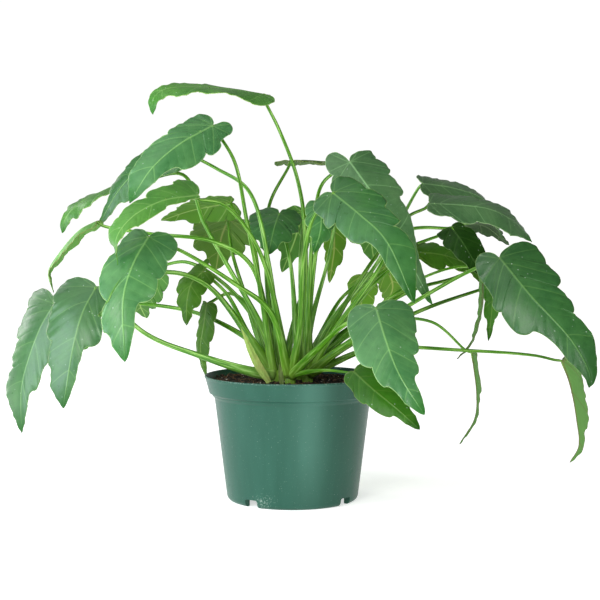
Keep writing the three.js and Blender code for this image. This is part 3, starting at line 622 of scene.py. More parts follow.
@dataclass(frozen=True)
class LightTable:
    """Opal acrylic table top, lit from below, which gives the eye an even white ground."""

    colour: str = "f6f6f4"
    roughness: float = 0.95
    specular: float = 0.1
    glow: float = 0.6

    def make(self) -> Material:
        """Builds the material.

        Returns:
            The material.
        """
        material, tree = new_material("opal_acrylic")
        skin = add_node(tree, "BsdfPrincipled", {
            "Base Color": linear(self.colour), "Roughness": self.roughness,
            "Specular IOR Level": self.specular, "Emission Color": (1, 1, 1, 1),
            "Emission Strength": self.glow})
        add_node(tree, "OutputMaterial", {"Surface": skin.outputs[0]})
        return material


# Half a blade's outline as points [share of the midrib's length, share of the half width]: the side
# of the base lobe, then by turns a notch and a crest
PLAIN_EDGE: Edge = ((0.08, 1), (0.22, 0.88), (0.34, 1), (0.48, 0.76), (0.58, 0.82), (0.71, 0.52),
                    (0.85, 0.34))
SHEATH_EDGE: Edge = ((0.3, 1.1), (0.5, 1), (0.6, 0.95))


@dataclass(frozen=True)
class Leaf:
    """One leaf: the crown it grows from, the way of its stalk and the form of its blade. Widths are
    half widths left and right, `fold` is the rise of both halves and `twist` the turn at the tip,
    both in degrees, and `lobes` says how far the base lobes reach back, as shares of the midrib.
    `light` makes its colours lighter or darker, partly for the leaf's own tone and partly as painted light
    and shade, `girth` makes its stalk thicker and `stalk` paints its stalk lighter as a painted highlight.
    Its left base lobe hangs down by `hang`."""

    crown: str
    midrib: tuple[Point, ...]
    right: Point
    widths: Span
    fold: float = -4
    lobes: Span = (0.1, 0.1)
    via: tuple[Point, ...] = ()
    tone: Tone = Tone.GREEN
    twist: float = 0.0
    light: float = 1.0
    girth: float = 1.0
    stalk: float = 1.0
    hang: float = 0.0
    left_edge: Edge = PLAIN_EDGE
    right_edge: Edge = PLAIN_EDGE


LEAVES = (
    Leaf("back_right", via=((11, 16, 233), (4, 22, 279), (-12, 28, 322)),
         midrib=((-26, 30, 353), (-54, 30, 357), (-95, 29, 359), (-115, 25, 355), (-122, 22, 347),
                 (-122, 20, 334)), right=(0, 1, 0.1), widths=(20, 22), fold=2, lobes=(0.1, 0.06), twist=-60,
         tone=Tone.YOUNG, hang=10,
         left_edge=((0.1, 0.9), (0.3, 0.8), (0.38, 0.9), (0.5, 0.6), (0.6, 0.8), (0.7, 0.7), (0.85, 0.5)),
         right_edge=((0.1, 0.9), (0.3, 0.7), (0.38, 0.7), (0.5, 0.4), (0.6, 0.5), (0.7, 0.4), (0.85, 0.3))),
    Leaf("left", via=((-26, -6, 173), (-39, -8, 240), (-50, -11, 293)),
         midrib=((-68, -15, 322), (-94, -30, 306), (-118, -44, 283), (-135, -50, 256)),
         right=(-0.5, 0.45, 0.75), widths=(23, 20), lobes=(0.14, 0.05), tone=Tone.GLAUCOUS, light=1.05,
         left_edge=((-0.08, 0.62), (0.04, 0.75), (0.15, 1), (0.2, 0.78), (0.36, 0.98), (0.5, 0.72),
                    (0.75, 0.43)),
         right_edge=((0.06, 0.97), (0.17, 0.9), (0.27, 0.95), (0.34, 0.72), (0.5, 0.95), (0.62, 0.85),
                     (0.8, 0.8))),
    Leaf("back_left", via=((-21, 6, 206), (-38, 18, 267), (-68, 36, 288)),
         midrib=((-101, 34, 304), (-132, 40, 291), (-154, 43, 270), (-174, 44, 236)),
         right=(-0.5, 0.5, 0.7), widths=(18, 15), fold=-6, light=0.8),
    Leaf("back_left", via=((-30, 14, 154), (-55, 24, 198), (-78, 36, 238), (-99, 52, 283)),
         midrib=((-163, 68, 273), (-193, 75, 259), (-208, 78, 244), (-212, 78, 230)),
         right=(-0.1, 0.98, 0.1), widths=(16, 16), lobes=(0.06, 0.06), twist=-70, tone=Tone.YOUNG,
         light=0.87),
    Leaf("left", via=((-35, -4, 202), (-67, 0, 223), (-124, 12, 230)),
         midrib=((-172, 20, 241), (-187, 20, 233), (-205, 21, 213), (-215, 22, 196), (-211, 24, 178)),
         right=(0, 1, 0), widths=(9, 13), fold=-18, lobes=(0, 0.05), tone=Tone.DRYING, light=1.55),
    Leaf("front", via=((-22, -28, 200), (-38, -38, 234), (-58, -50, 255)),
         midrib=((-78, -62, 262), (-106, -76, 257), (-129, -90, 243), (-140, -97, 226), (-139, -98, 206)),
         right=(-0.25, 0.6, 0.75), widths=(16, 24), lobes=(0.02, 0.05), tone=Tone.YOUNG,
         left_edge=((0.03, 0.2), (0.1, 0.25), (0.2, 0.36), (0.3, 0.46), (0.5, 0.62), (0.62, 0.6),
                    (0.78, 0.3)),
         right_edge=((0.04, 1), (0.14, 0.72), (0.3, 0.66), (0.38, 0.38), (0.5, 0.5), (0.64, 0.4),
                     (0.78, 0.53))),
    Leaf("front", via=((-19, -34, 165), (-48, -48, 189), (-92, -64, 217)),
         midrib=((-117, -72, 228), (-127, -88, 208), (-134, -102, 181), (-132, -112, 130)),
         right=(-0.95, 0.03, 0.15), widths=(27, 22), lobes=(0.1, 0.05), tone=Tone.GLAUCOUS, light=1.15,
         left_edge=((0.02, 0.95), (0.11, 0.82), (0.22, 0.95), (0.31, 0.8), (0.42, 0.9), (0.56, 0.52),
                    (0.76, 0.34)),
         right_edge=((0.12, 0.9), (0.22, 0.84), (0.36, 1.06), (0.57, 0.48), (0.68, 0.78), (0.78, 0.7),
                     (0.88, 0.45))),
    Leaf("left", via=((-32, -12, 111), (-79, -18, 126), (-126, -22, 146)),
         midrib=((-166, -30, 185), (-175, -40, 166), (-182, -48, 140), (-191, -50, 85)),
         right=(-0.9, 0.3, 0.2), widths=(21, 27), lobes=(0.03, 0.06), tone=Tone.GLAUCOUS, light=0.78,
         girth=1.15, stalk=1.75,
         left_edge=((0.06, 0.68), (0.22, 0.58), (0.4, 1), (0.49, 0.6), (0.56, 0.42), (0.62, 0.4),
                    (0.76, 0.34)),
         right_edge=((0.06, 1.4), (0.2, 1.18), (0.36, 1.2), (0.5, 0.8), (0.6, 0.84), (0.7, 0.78),
                     (0.85, 0.62))),
    Leaf("left", via=((-37, -2, 140), (-77, 10, 187), (-117, 20, 196), (-190, 38, 166)),
         midrib=((-214, 44, 167), (-225, 42, 148), (-234, 39, 125), (-242, 35, 94), (-242, 32, 52)),
         right=(-0.75, 0.6, 0.2), widths=(19, 30), lobes=(0.02, 0.06), tone=Tone.GLAUCOUS, light=0.8,
         girth=1.1, stalk=1.15,
         left_edge=((0.1, 1), (0.2, 0.9), (0.35, 1.1), (0.46, 0.98), (0.56, 0.95), (0.68, 0.72),
                    (0.8, 0.42)),
         right_edge=((0.06, 1.4), (0.13, 1.12), (0.25, 1.28), (0.34, 0.86), (0.43, 0.86), (0.54, 0.62),
                     (0.7, 0.9))),
    Leaf("back_left", via=((-27, 25, 145), (-61, 50, 184), (-98, 66, 204)),
         midrib=((-132, 80, 198), (-145, 112, 167), (-141, 136, 148)), right=(0.9, -0.2, -0.1),
         widths=(22, 22), fold=-6),
    Leaf("back_left", via=((-35, 10, 136), (-58, 30, 176)),
         midrib=((-80, 38, 196), (-89, 31, 187), (-93, 26, 171), (-94, 24, 149)), right=(-0.8, 0.5, 0.2),
         widths=(15, 17), fold=-8, lobes=(0.05, 0.3), tone=Tone.OLIVE, light=0.95),
    Leaf("back_left", via=((-23, 18, 126), (-41, 34, 167), (-58, 50, 176)),
         midrib=((-77, 46, 167), (-80, 46, 147), (-83, 48, 125), (-78, 48, 99)), right=(-0.7, 0.7, 0),
         widths=(12, 10), fold=-5, lobes=(0.03, 0.03), tone=Tone.OLIVE, light=0.88),
    Leaf("back_left", via=((-27, 24, 171), (-36, 44, 224)),
         midrib=((-56, 66, 258), (-87, 80, 253), (-122, 88, 242)), right=(0.25, 0.85, -0.5),
         widths=(22, 22), lobes=(0.1, 0.05), tone=Tone.FRESH, light=0.8),
    Leaf("back_left", via=((-27, 22, 132), (-44, 44, 179), (-56, 76, 215)),
         midrib=((-60, 104, 243), (-68, 134, 227), (-75, 160, 194)), right=(0.98, 0.11, -0.1),
         widths=(32, 30), fold=-6, tone=Tone.OLIVE, light=0.85),
    Leaf("back_right", via=((3, 14, 146), (-2, 36, 205)),
         midrib=((-12, 56, 248), (-16, 34, 235), (-21, 12, 212)), right=(-0.97, 0.12, 0.09),
         widths=(21, 27), lobes=(0.2, 0.2), light=0.88),
    Leaf("back_right", via=((8, 20, 145), (7, 46, 205)),
         midrib=((9, 78, 250), (2, 96, 224), (-10, 104, 193)), right=(0.9, 0.3, -0.2), widths=(19, 18),
         fold=-6, light=1.25),
    Leaf("back_left", via=((-18, 26, 145), (-24, 52, 206), (-21, 80, 257)),
         midrib=((-2, 100, 298), (17, 124, 298), (35, 146, 295)), right=(0.8, -0.55, 0.05), widths=(20, 20),
         fold=0, tone=Tone.OLIVE, light=0.85),
    Leaf("right", via=((14, -2, 173), (19, 6, 242), (27, 22, 275)),
         midrib=((50, 8, 292), (65, -6, 270), (83, -18, 245), (98, -28, 210), (119, -20, 170)),
         right=(-0.68, -0.35, -0.62), widths=(19, 27), lobes=(0.05, 0.12), tone=Tone.SHADED, light=1.5,
         left_edge=((-0.03, 1.3), (0.03, 1.22), (0.12, 1.5), (0.17, 1.25), (0.3, 1.42), (0.34, 1.02),
                    (0.44, 0.95)),
         right_edge=((-0.02, 0.74), (0.02, 0.66), (0.09, 0.9), (0.3, 0.8), (0.42, 0.8), (0.6, 0.6),
                     (0.8, 0.3))),
    Leaf("front", via=((6, -28, 149), (10, -44, 214), (18, -54, 245)),
         midrib=((33, -66, 264), (54, -84, 246), (74, -100, 226), (95, -122, 177)),
         right=(-0.55, -0.3, -0.75), widths=(24, 24), lobes=(0.08, 0.06), light=0.78,
         left_edge=((0.06, 0.92), (0.14, 0.9), (0.25, 1.1), (0.33, 0.84), (0.47, 0.82), (0.48, 0.48),
                    (0.66, 0.76)),
         right_edge=((0, 0.9), (0.08, 0.86), (0.14, 1.02), (0.17, 0.72), (0.32, 0.86), (0.44, 0.6),
                     (0.7, 0.4))),
    Leaf("right", via=((33, 8, 146), (70, 24, 205), (103, 40, 245)),
         midrib=((122, 40, 257), (152, 40, 255), (178, 42, 251), (200, 50, 240), (218, 62, 222)),
         right=(-0.06, -0.72, -0.54), widths=(22, 19), lobes=(0, 0.02), tone=Tone.SHADED, light=1.3,
         left_edge=((0.06, 1), (0.2, 0.95), (0.28, 1), (0.42, 0.6), (0.62, 0.95), (0.74, 0.85),
                    (0.88, 0.45)),
         right_edge=((0.1, 0.75), (0.2, 0.8), (0.28, 1.1), (0.38, 0.88), (0.46, 0.9), (0.56, 0.95),
                     (0.72, 0.95))),
    Leaf("back_right", via=((34, 24, 152), (74, 50, 200)),
         midrib=((121, 88, 276), (150, 102, 272), (182, 116, 260), (202, 130, 224)),
         right=(-0.06, -0.8, -0.5), widths=(19, 18), lobes=(0.02, 0.05), tone=Tone.SHADED, light=1.35),
    Leaf("back_right", via=((38, 40, 144), (95, 86, 209)),
         midrib=((161, 134, 240), (186, 144, 237), (212, 156, 218)), right=(0.4, -0.8, 0.2),
         widths=(16, 18), fold=-6, lobes=(0.05, 0.05), tone=Tone.SHADED, light=0.42),
    Leaf("right", via=((31, 2, 138), (69, 6, 190), (98, 10, 232)),
         midrib=((139, 12, 236), (149, 2, 220), (165, -4, 194)), right=(-0.75, -0.35, -0.55),
         widths=(18, 20), lobes=(0.05, 0.03), tone=Tone.DEEP_SHADE, light=0.52,
         left_edge=((0, 0.6), (0.1, 0.62), (0.3, 0.95), (0.42, 0.93), (0.56, 0.9), (0.7, 0.7), (0.84, 0.4)),
         right_edge=((0, 0.75), (0.14, 0.6), (0.24, 0.75), (0.34, 0.65), (0.44, 0.6), (0.6, 0.5),
                     (0.8, 0.4))),
    Leaf("back_right", via=((36, 30, 140), (77, 48, 188)),
         midrib=((109, 64, 213), (142, 70, 209), (164, 74, 198), (175, 76, 182)), right=(-0.1, -0.7, -0.6),
         widths=(18, 18), lobes=(0.03, 0.03), tone=Tone.OLIVE,
         left_edge=((0.06, 0.8), (0.14, 0.8), (0.24, 1.2), (0.36, 0.9), (0.5, 0.7), (0.66, 0.5),
                    (0.82, 0.3)),
         right_edge=((0.07, 0.4), (0.15, 0.45), (0.3, 0.95), (0.42, 0.58), (0.6, 0.66), (0.7, 0.4),
                     (0.84, 0.3))),
    Leaf("right", via=((37, -18, 129), (104, -28, 173), (148, -30, 198)),
         midrib=((173, -44, 210), (194, -62, 182), (227, -80, 143), (241, -84, 115), (240, -85, 106)),
         right=(-0.72, -0.2, -0.66), widths=(25, 29), lobes=(0.04, 0.1), light=0.64,
         left_edge=((0.06, 1.32), (0.18, 1.16), (0.31, 1.25), (0.37, 0.9), (0.46, 0.95), (0.56, 0.66),
                    (0.74, 0.74)),
         right_edge=((0.06, 0.8), (0.2, 0.92), (0.24, 1.02), (0.28, 0.9), (0.4, 1), (0.49, 0.68),
                     (0.78, 0.4))),
    Leaf("right", via=((33, -2, 117), (69, -6, 131), (151, -14, 130), (208, -18, 126)),
         midrib=((231, -20, 122), (238, -20, 102), (244, -20, 71), (246, -20, 48), (238, -20, 34)),
         right=(0, -1, 0), widths=(17, 17), fold=34, lobes=(0.02, 0.02), tone=Tone.DRYING, light=0.8,
         girth=0.85, stalk=1.15,
         left_edge=((0.02, 1.3), (0.12, 1.25), (0.22, 1.25), (0.36, 1.1), (0.5, 1), (0.66, 0.55),
                    (0.84, 0.3)),
         right_edge=((0.02, 1.3), (0.12, 1.25), (0.22, 1.25), (0.36, 1.1), (0.5, 1), (0.66, 0.55),
                     (0.84, 0.3))),
    Leaf("right", via=((36, -6, 127), (80, 0, 154), (122, 6, 153)),
         midrib=((158, 10, 126), (162, 10, 93), (160, 10, 67), (147, 10, 45)), right=(0, -1, 0),
         widths=(13, 13), fold=16, lobes=(0.02, 0.02), tone=Tone.DRYING, light=0.92, girth=0.8,
         left_edge=((0.02, 1), (0.12, 0.95), (0.25, 1.05), (0.4, 0.85), (0.55, 0.5), (0.7, 0.38),
                    (0.86, 0.2)),
         right_edge=((0.02, 1), (0.12, 0.95), (0.25, 1.05), (0.4, 0.85), (0.55, 0.5), (0.7, 0.38),
                     (0.86, 0.2))),
    Leaf("back_right", via=((38, 18, 132), (96, 30, 180), (141, 40, 199)),
         midrib=((172, 46, 197), (170, 46, 157), (160, 45, 129), (148, 44, 117)), right=(0.1, -0.99, 0),
         widths=(8, 8), fold=-6, lobes=(0.02, 0.02), tone=Tone.DRYING, light=0.86, girth=0.8),
    Leaf("back_right", via=((37, 34, 135), (107, 66, 177), (150, 92, 188)),
         midrib=((187, 82, 201), (185, 80, 168), (182, 82, 130)), right=(-0.9, -0.3, 0), widths=(10, 9),
         lobes=(0.02, 0.02), tone=Tone.FRESH, light=0.66),
    Leaf("front", via=((20, -44, 133), (42, -82, 157)),
         midrib=((65, -126, 173), (71, -149, 150), (80, -166, 126), (98, -177, 97)),
         right=(-0.93, -0.2, -0.3), widths=(24, 26), lobes=(0.08, 0.08), tone=Tone.GLAUCOUS, light=0.98,
         left_edge=((0.04, 1.18), (0.27, 1.04), (0.4, 1), (0.5, 0.72), (0.6, 0.72), (0.7, 0.5),
                    (0.84, 0.3)),
         right_edge=((0.1, 0.96), (0.24, 0.92), (0.36, 0.96), (0.51, 0.62), (0.58, 0.66), (0.68, 0.52),
                     (0.85, 0.3))),
    Leaf("front", via=((14, -36, 114), (30, -70, 119)),
         midrib=((49, -98, 121), (64, -110, 108), (82, -121, 94), (99, -130, 79)),
         right=(-0.67, -0.3, -0.68), widths=(18, 19), lobes=(0.03, 0.05), tone=Tone.FRESH, light=0.45,
         girth=0.62,
         left_edge=((0.04, 0.9), (0.22, 0.88), (0.34, 1), (0.48, 0.8), (0.6, 0.8), (0.74, 0.5),
                    (0.86, 0.34)),
         right_edge=((0.06, 0.62), (0.2, 0.72), (0.3, 0.75), (0.36, 0.64), (0.45, 0.66), (0.68, 0.36),
                     (0.84, 0.24))),
    Leaf("back_right", via=((29, 36, 144), (58, 54, 178)),
         midrib=((86, 72, 200), (93, 90, 179), (85, 104, 158)), right=(0.9, 0.3, 0.3), widths=(15, 15),
         fold=-6, lobes=(0.03, 0.03), tone=Tone.OLIVE, light=1.5),
    Leaf("back_right", via=((23, 46, 134), (44, 74, 169)),
         midrib=((65, 98, 190), (66, 120, 168), (63, 132, 144)), right=(0.9, 0.3, 0), widths=(15, 15),
         fold=-6, lobes=(0.08, 0.08), tone=Tone.OLIVE, light=1.8),
    Leaf("back_right", via=((17, 30, 153), (32, 50, 206)),
         midrib=((37, 64, 240), (38, 76, 215), (34, 78, 184)), right=(0.9, 0.3, 0), widths=(11, 11),
         fold=-6, lobes=(0.04, 0.04), tone=Tone.OLIVE, light=1.45),
    Leaf("right", via=((15, 0, 164), (22, -2, 229)), midrib=((25, -6, 255), (24, -16, 233), (18, -22, 214)),
         right=(-0.9, -0.2, -0.2), widths=(12, 14), fold=-6, light=1.05),
    Leaf("back_left", via=((7, 60, 169), (35, 104, 238)),
         midrib=((67, 136, 267), (74, 162, 240), (81, 176, 201)), right=(0.9, 0.1, 0), widths=(28, 28),
         fold=-6, light=1.2),
    Leaf("back_right", via=((23, 50, 117), (54, 90, 135)),
         midrib=((84, 130, 144), (94, 160, 117), (101, 176, 75)), right=(0.9, 0.1, 0), widths=(26, 26),
         fold=-6),
    Leaf("back_left", via=((-27, 30, 127), (-85, 70, 156), (-152, 98, 165)),
         midrib=((-196, 118, 168), (-210, 142, 138), (-217, 156, 93)), right=(0.9, 0.1, 0), widths=(20, 20),
         fold=-6),
    Leaf("back_left", via=((7, 56, 118), (10, 85, 110)),
         midrib=((13, 116, 86), (18, 142, 50), (25, 150, 7)), right=(0.9, 0.1, 0), widths=(28, 28),
         fold=-6),
    Leaf("right", via=((42, 14, 128), (114, 46, 160), (172, 94, 176)),
         midrib=((214, 112, 190), (238, 136, 168), (248, 146, 134)), right=(0.9, 0.1, 0), widths=(20, 20),
         fold=-6, lobes=(0.05, 0.05)),
)
SHEATHS = (
    Leaf("left", midrib=((-20, -22, 103.6), (-31, -24, 122), (-44, -24, 151)), right=(-0.8, 0.1, -0.5),
         widths=(3, 3.5), fold=20, lobes=(0, 0), left_edge=SHEATH_EDGE, right_edge=SHEATH_EDGE),
    Leaf("front", midrib=((-9, -31, 102.4), (-10, -32, 112), (-11, -31, 121)), right=(1, 0, 0),
         widths=(2, 2), fold=20, lobes=(0, 0), light=0.42, left_edge=SHEATH_EDGE, right_edge=SHEATH_EDGE),
)
# Where each crown stands, and the painted light and shade that makes its stalks lighter or darker
CROWNS = {"left": ((-15, -5), 0.78), "front": ((-2, -15), 0.86), "right": ((13, -6), 0.9),
          "back_right": ((8, 12), 1.2), "back_left": ((-9, 12), 1.05)}


def unit(vectors: np.ndarray) -> np.ndarray:
    """Gives vectors the length one."""
    return vectors / np.maximum(np.linalg.norm(vectors, axis=-1, keepdims=True), 1e-12)


def distance_to(points: np.ndarray, line: np.ndarray) -> np.ndarray:
    """Measures from points to a line of straight pieces.

    Args:
        points: the points, one a row.
        line: the line's corners, one a row.

    Returns:
        The shortest distance of each point.
    """
    starts, runs = line[:-1], np.diff(line, axis=0)
    squares = np.maximum((runs * runs).sum(axis=1), 1e-9)
    offsets = points[:, None, :] - starts
    shares = np.clip((offsets * runs).sum(axis=2) / squares, 0, 1)
    return np.linalg.norm(offsets - shares[:, :, None] * runs, axis=2).min(axis=1)


class Course:
    """A smooth line through points, read by the share of its length."""

    samples_a_span = 48

    def __init__(self, points: tuple[Point, ...]) -> None:
        """Samples a centripetal Catmull-Rom curve.

        Args:
            points: the points it passes, in mm.
        """
        known = np.array(points, float)
        known = np.vstack([2 * known[0] - known[1], known, 2 * known[-1] - known[-2]])
        spans = [self.span(*known[i:i + 4]) for i in range(len(known) - 3)]
        self.samples = np.vstack(spans + [known[-2]])
        steps = np.linalg.norm(np.diff(self.samples, axis=0), axis=1)
        self.ways = np.concatenate([[0.0], np.cumsum(steps)])
        self.length = float(self.ways[-1])
        self.tangents = unit(np.gradient(self.samples, self.ways, axis=0))

    def span(self, a: np.ndarray, b: np.ndarray, c: np.ndarray, d: np.ndarray) -> np.ndarray:
        """Samples the curve between two of its points.

        Args:
            a: the point before.
            b: the span's first point.
            c: the span's last point.
            d: the point after.

        Returns:
            Points from `b` on, without `c`.
        """
        before, within, after = (np.sqrt(np.linalg.norm(q - p)) for p, q in ((a, b), (b, c), (c, d)))
        leave = ((b - a) / before - (c - a) / (before + within) + (c - b) / within) * within
        arrive = ((c - b) / within - (d - b) / (within + after) + (d - c) / after) * within
        t = np.linspace(0, 1, self.samples_a_span, endpoint=False)[:, None]
        return ((2 * t**3 - 3 * t**2 + 1) * b + (t**3 - 2 * t**2 + t) * leave
                + (3 * t**2 - 2 * t**3) * c + (t**3 - t**2) * arrive)

    def read(self, rows: np.ndarray, shares: np.ndarray) -> np.ndarray:
        """Reads sampled rows at shares of the length.

        Args:
            rows: the sampled points or tangents.
            shares: shares of the length, 0 to 1.

        Returns:
            One row for each share.
        """
        ways = np.asarray(shares) * self.length
        return np.stack([np.interp(ways, self.ways, rows[:, k]) for k in range(3)], axis=-1)

    def at(self, shares: np.ndarray) -> np.ndarray:
        """Gives the points at shares of the length."""
        return self.read(self.samples, shares)

    def tangent(self, shares: np.ndarray) -> np.ndarray:
        """Gives the directions at shares of the length."""
        return unit(self.read(self.tangents, shares))


@dataclass
class Shell:
    """A mesh in the making: points in mm, faces with their material's number, and numbers kept at
    each point for the finishes."""

    name: str
    points: list = field(default_factory=list)
    faces: list = field(default_factory=list)
    numbers: list = field(default_factory=list)
    kept: dict = field(default_factory=dict)

    def add(self, points: np.ndarray, faces: list, number: int | list[int] = 0,
            **kept: np.ndarray) -> None:
        """Adds points and faces.

        Args:
            points: the new points in mm, one a row.
            faces: the new faces, which count from the first new point.
            number: the material's number, or one for each face in a list.
            kept: an attribute's values, a number or a vector for each new point.
        """
        start = len(self.points)
        self.points.extend(np.asarray(points, float).tolist())
        self.faces.extend(tuple(start + i for i in face) for face in faces)
        self.numbers.extend(number if isinstance(number, list) else [number] * len(faces))
        for name, values in kept.items():
            self.kept.setdefault(name, []).extend(np.asarray(values, float).tolist())

    def build(self, materials: list[Material], slot: Slot | None, smooth: bool = True,
              replaced: tuple[str, ...] = ()) -> bpy.types.Object:
        """Makes the object and tells the frame about it.

        Args:
            materials: the materials in the order of their numbers.
            slot: the piece's slot, or None for the stage, which is left unattached.
            smooth: whether the faces are shaded smooth.
            replaced: the CAD nodes it stands for.

        Returns:
            The object.
        """
        mesh = bpy.data.meshes.new(self.name)
        mesh.from_pydata((np.array(self.points) * MM).tolist(), [], self.faces)
        for material in materials:
            mesh.materials.append(material)
        mesh.polygons.foreach_set("material_index", self.numbers)
        mesh.polygons.foreach_set("use_smooth", [smooth] * len(self.faces))
        for name, values in self.kept.items():
            flat = np.array(values, np.float32)
            kind, key = ("FLOAT", "value") if flat.ndim == 1 else ("FLOAT_VECTOR", "vector")
            mesh.attributes.new(name, kind, "POINT").data.foreach_set(key, flat.ravel())
        mesh.update()
        made = bpy.data.objects.new(self.name, mesh)
        bpy.context.scene.collection.objects.link(made)
        if slot is None:
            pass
        else:
            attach(made, "root")
            if replaced:
                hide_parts(*replaced)
        log.info("%s: %d points, %d faces", self.name, len(self.points), len(self.faces))
        return made


@dataclass
class Net:
    """A blade's middle surface as a net of points in mm. It knows each point's share of the midrib's
    length and of the way to the edge, for each half the points' numbers by row and column, and the
    rows at which the outline's curves end. Thread veins end some columns before the edge."""

    points: np.ndarray
    along: np.ndarray
    share: np.ndarray
    grids: dict[int, np.ndarray]
    ends: list[int]
    thread_gap: int = 3

    def distances(self) -> dict[str, np.ndarray]:
        """Measures from each point to the midrib and to the nearest veins and margin.

        Returns:
            The distances in mm, by the line's name.
        """
        majors = [self.ends[0]] + self.ends[1:-1:2]
        minors = [(a + b) // 2 for a, b in zip([0] + self.ends, self.ends)] + self.ends[2:-1:2]
        lines = {"rib": [self.points[self.grids[1][:, 0]]], "vein": [], "thread": [], "margin": []}
        for grid in self.grids.values():
            lines["vein"] += [self.points[grid[row]] for row in majors]
            lines["thread"] += [self.points[grid[row]][:-self.thread_gap] for row in minors]
            lines["margin"].append(self.points[grid[:, -1]])
        return {name: np.min([distance_to(self.points, line) for line in found], axis=0)
                for name, found in lines.items()}

    def quads(self) -> list[tuple[int, ...]]:
        """Lists the faces, with their corners counterclockwise seen from above.

        Returns:
            The points' numbers of each face.
        """
        made = []
        for hand, grid in self.grids.items():
            rows = grid.tolist()
            for lower, upper in zip(rows, rows[1:]):
                for j in range(len(lower) - 1):
                    quad = (lower[j], lower[j + 1], upper[j + 1], upper[j])
                    corners = tuple(dict.fromkeys(quad if hand > 0 else reversed(quad)))
                    if len(corners) > 2:
                        made.append(corners)
        return made

    def normals(self, quads: list[tuple[int, ...]]) -> np.ndarray:
        """Averages the faces' normals at each point, by area.

        Args:
            quads: the faces.

        Returns:
            One direction a row.
        """
        summed = np.zeros_like(self.points)
        for size in (3, 4):
            corners = np.array([quad for quad in quads if len(quad) == size])
            if len(corners):
                a, b, c, d = (self.points[corners[:, k]] for k in (0, 1, 2, size - 1))
                normal = np.cross(c - a, d - b) if size == 4 else np.cross(b - a, c - a)
                for k in range(size):
                    np.add.at(summed, corners[:, k], normal)
        return unit(summed)

    def arcs(self) -> np.ndarray:
        """Finds how far along the edge each point's row ends.

        Returns:
            One distance in mm for each point.
        """
        ways = np.zeros(len(self.points))
        for grid in self.grids.values():
            steps = np.linalg.norm(np.diff(self.points[grid[:, -1]], axis=0), axis=1)
            run = np.concatenate([[0.0], np.cumsum(steps)])
            ways[grid[1:-1, 1:]] = run[1:-1, None]
        return ways


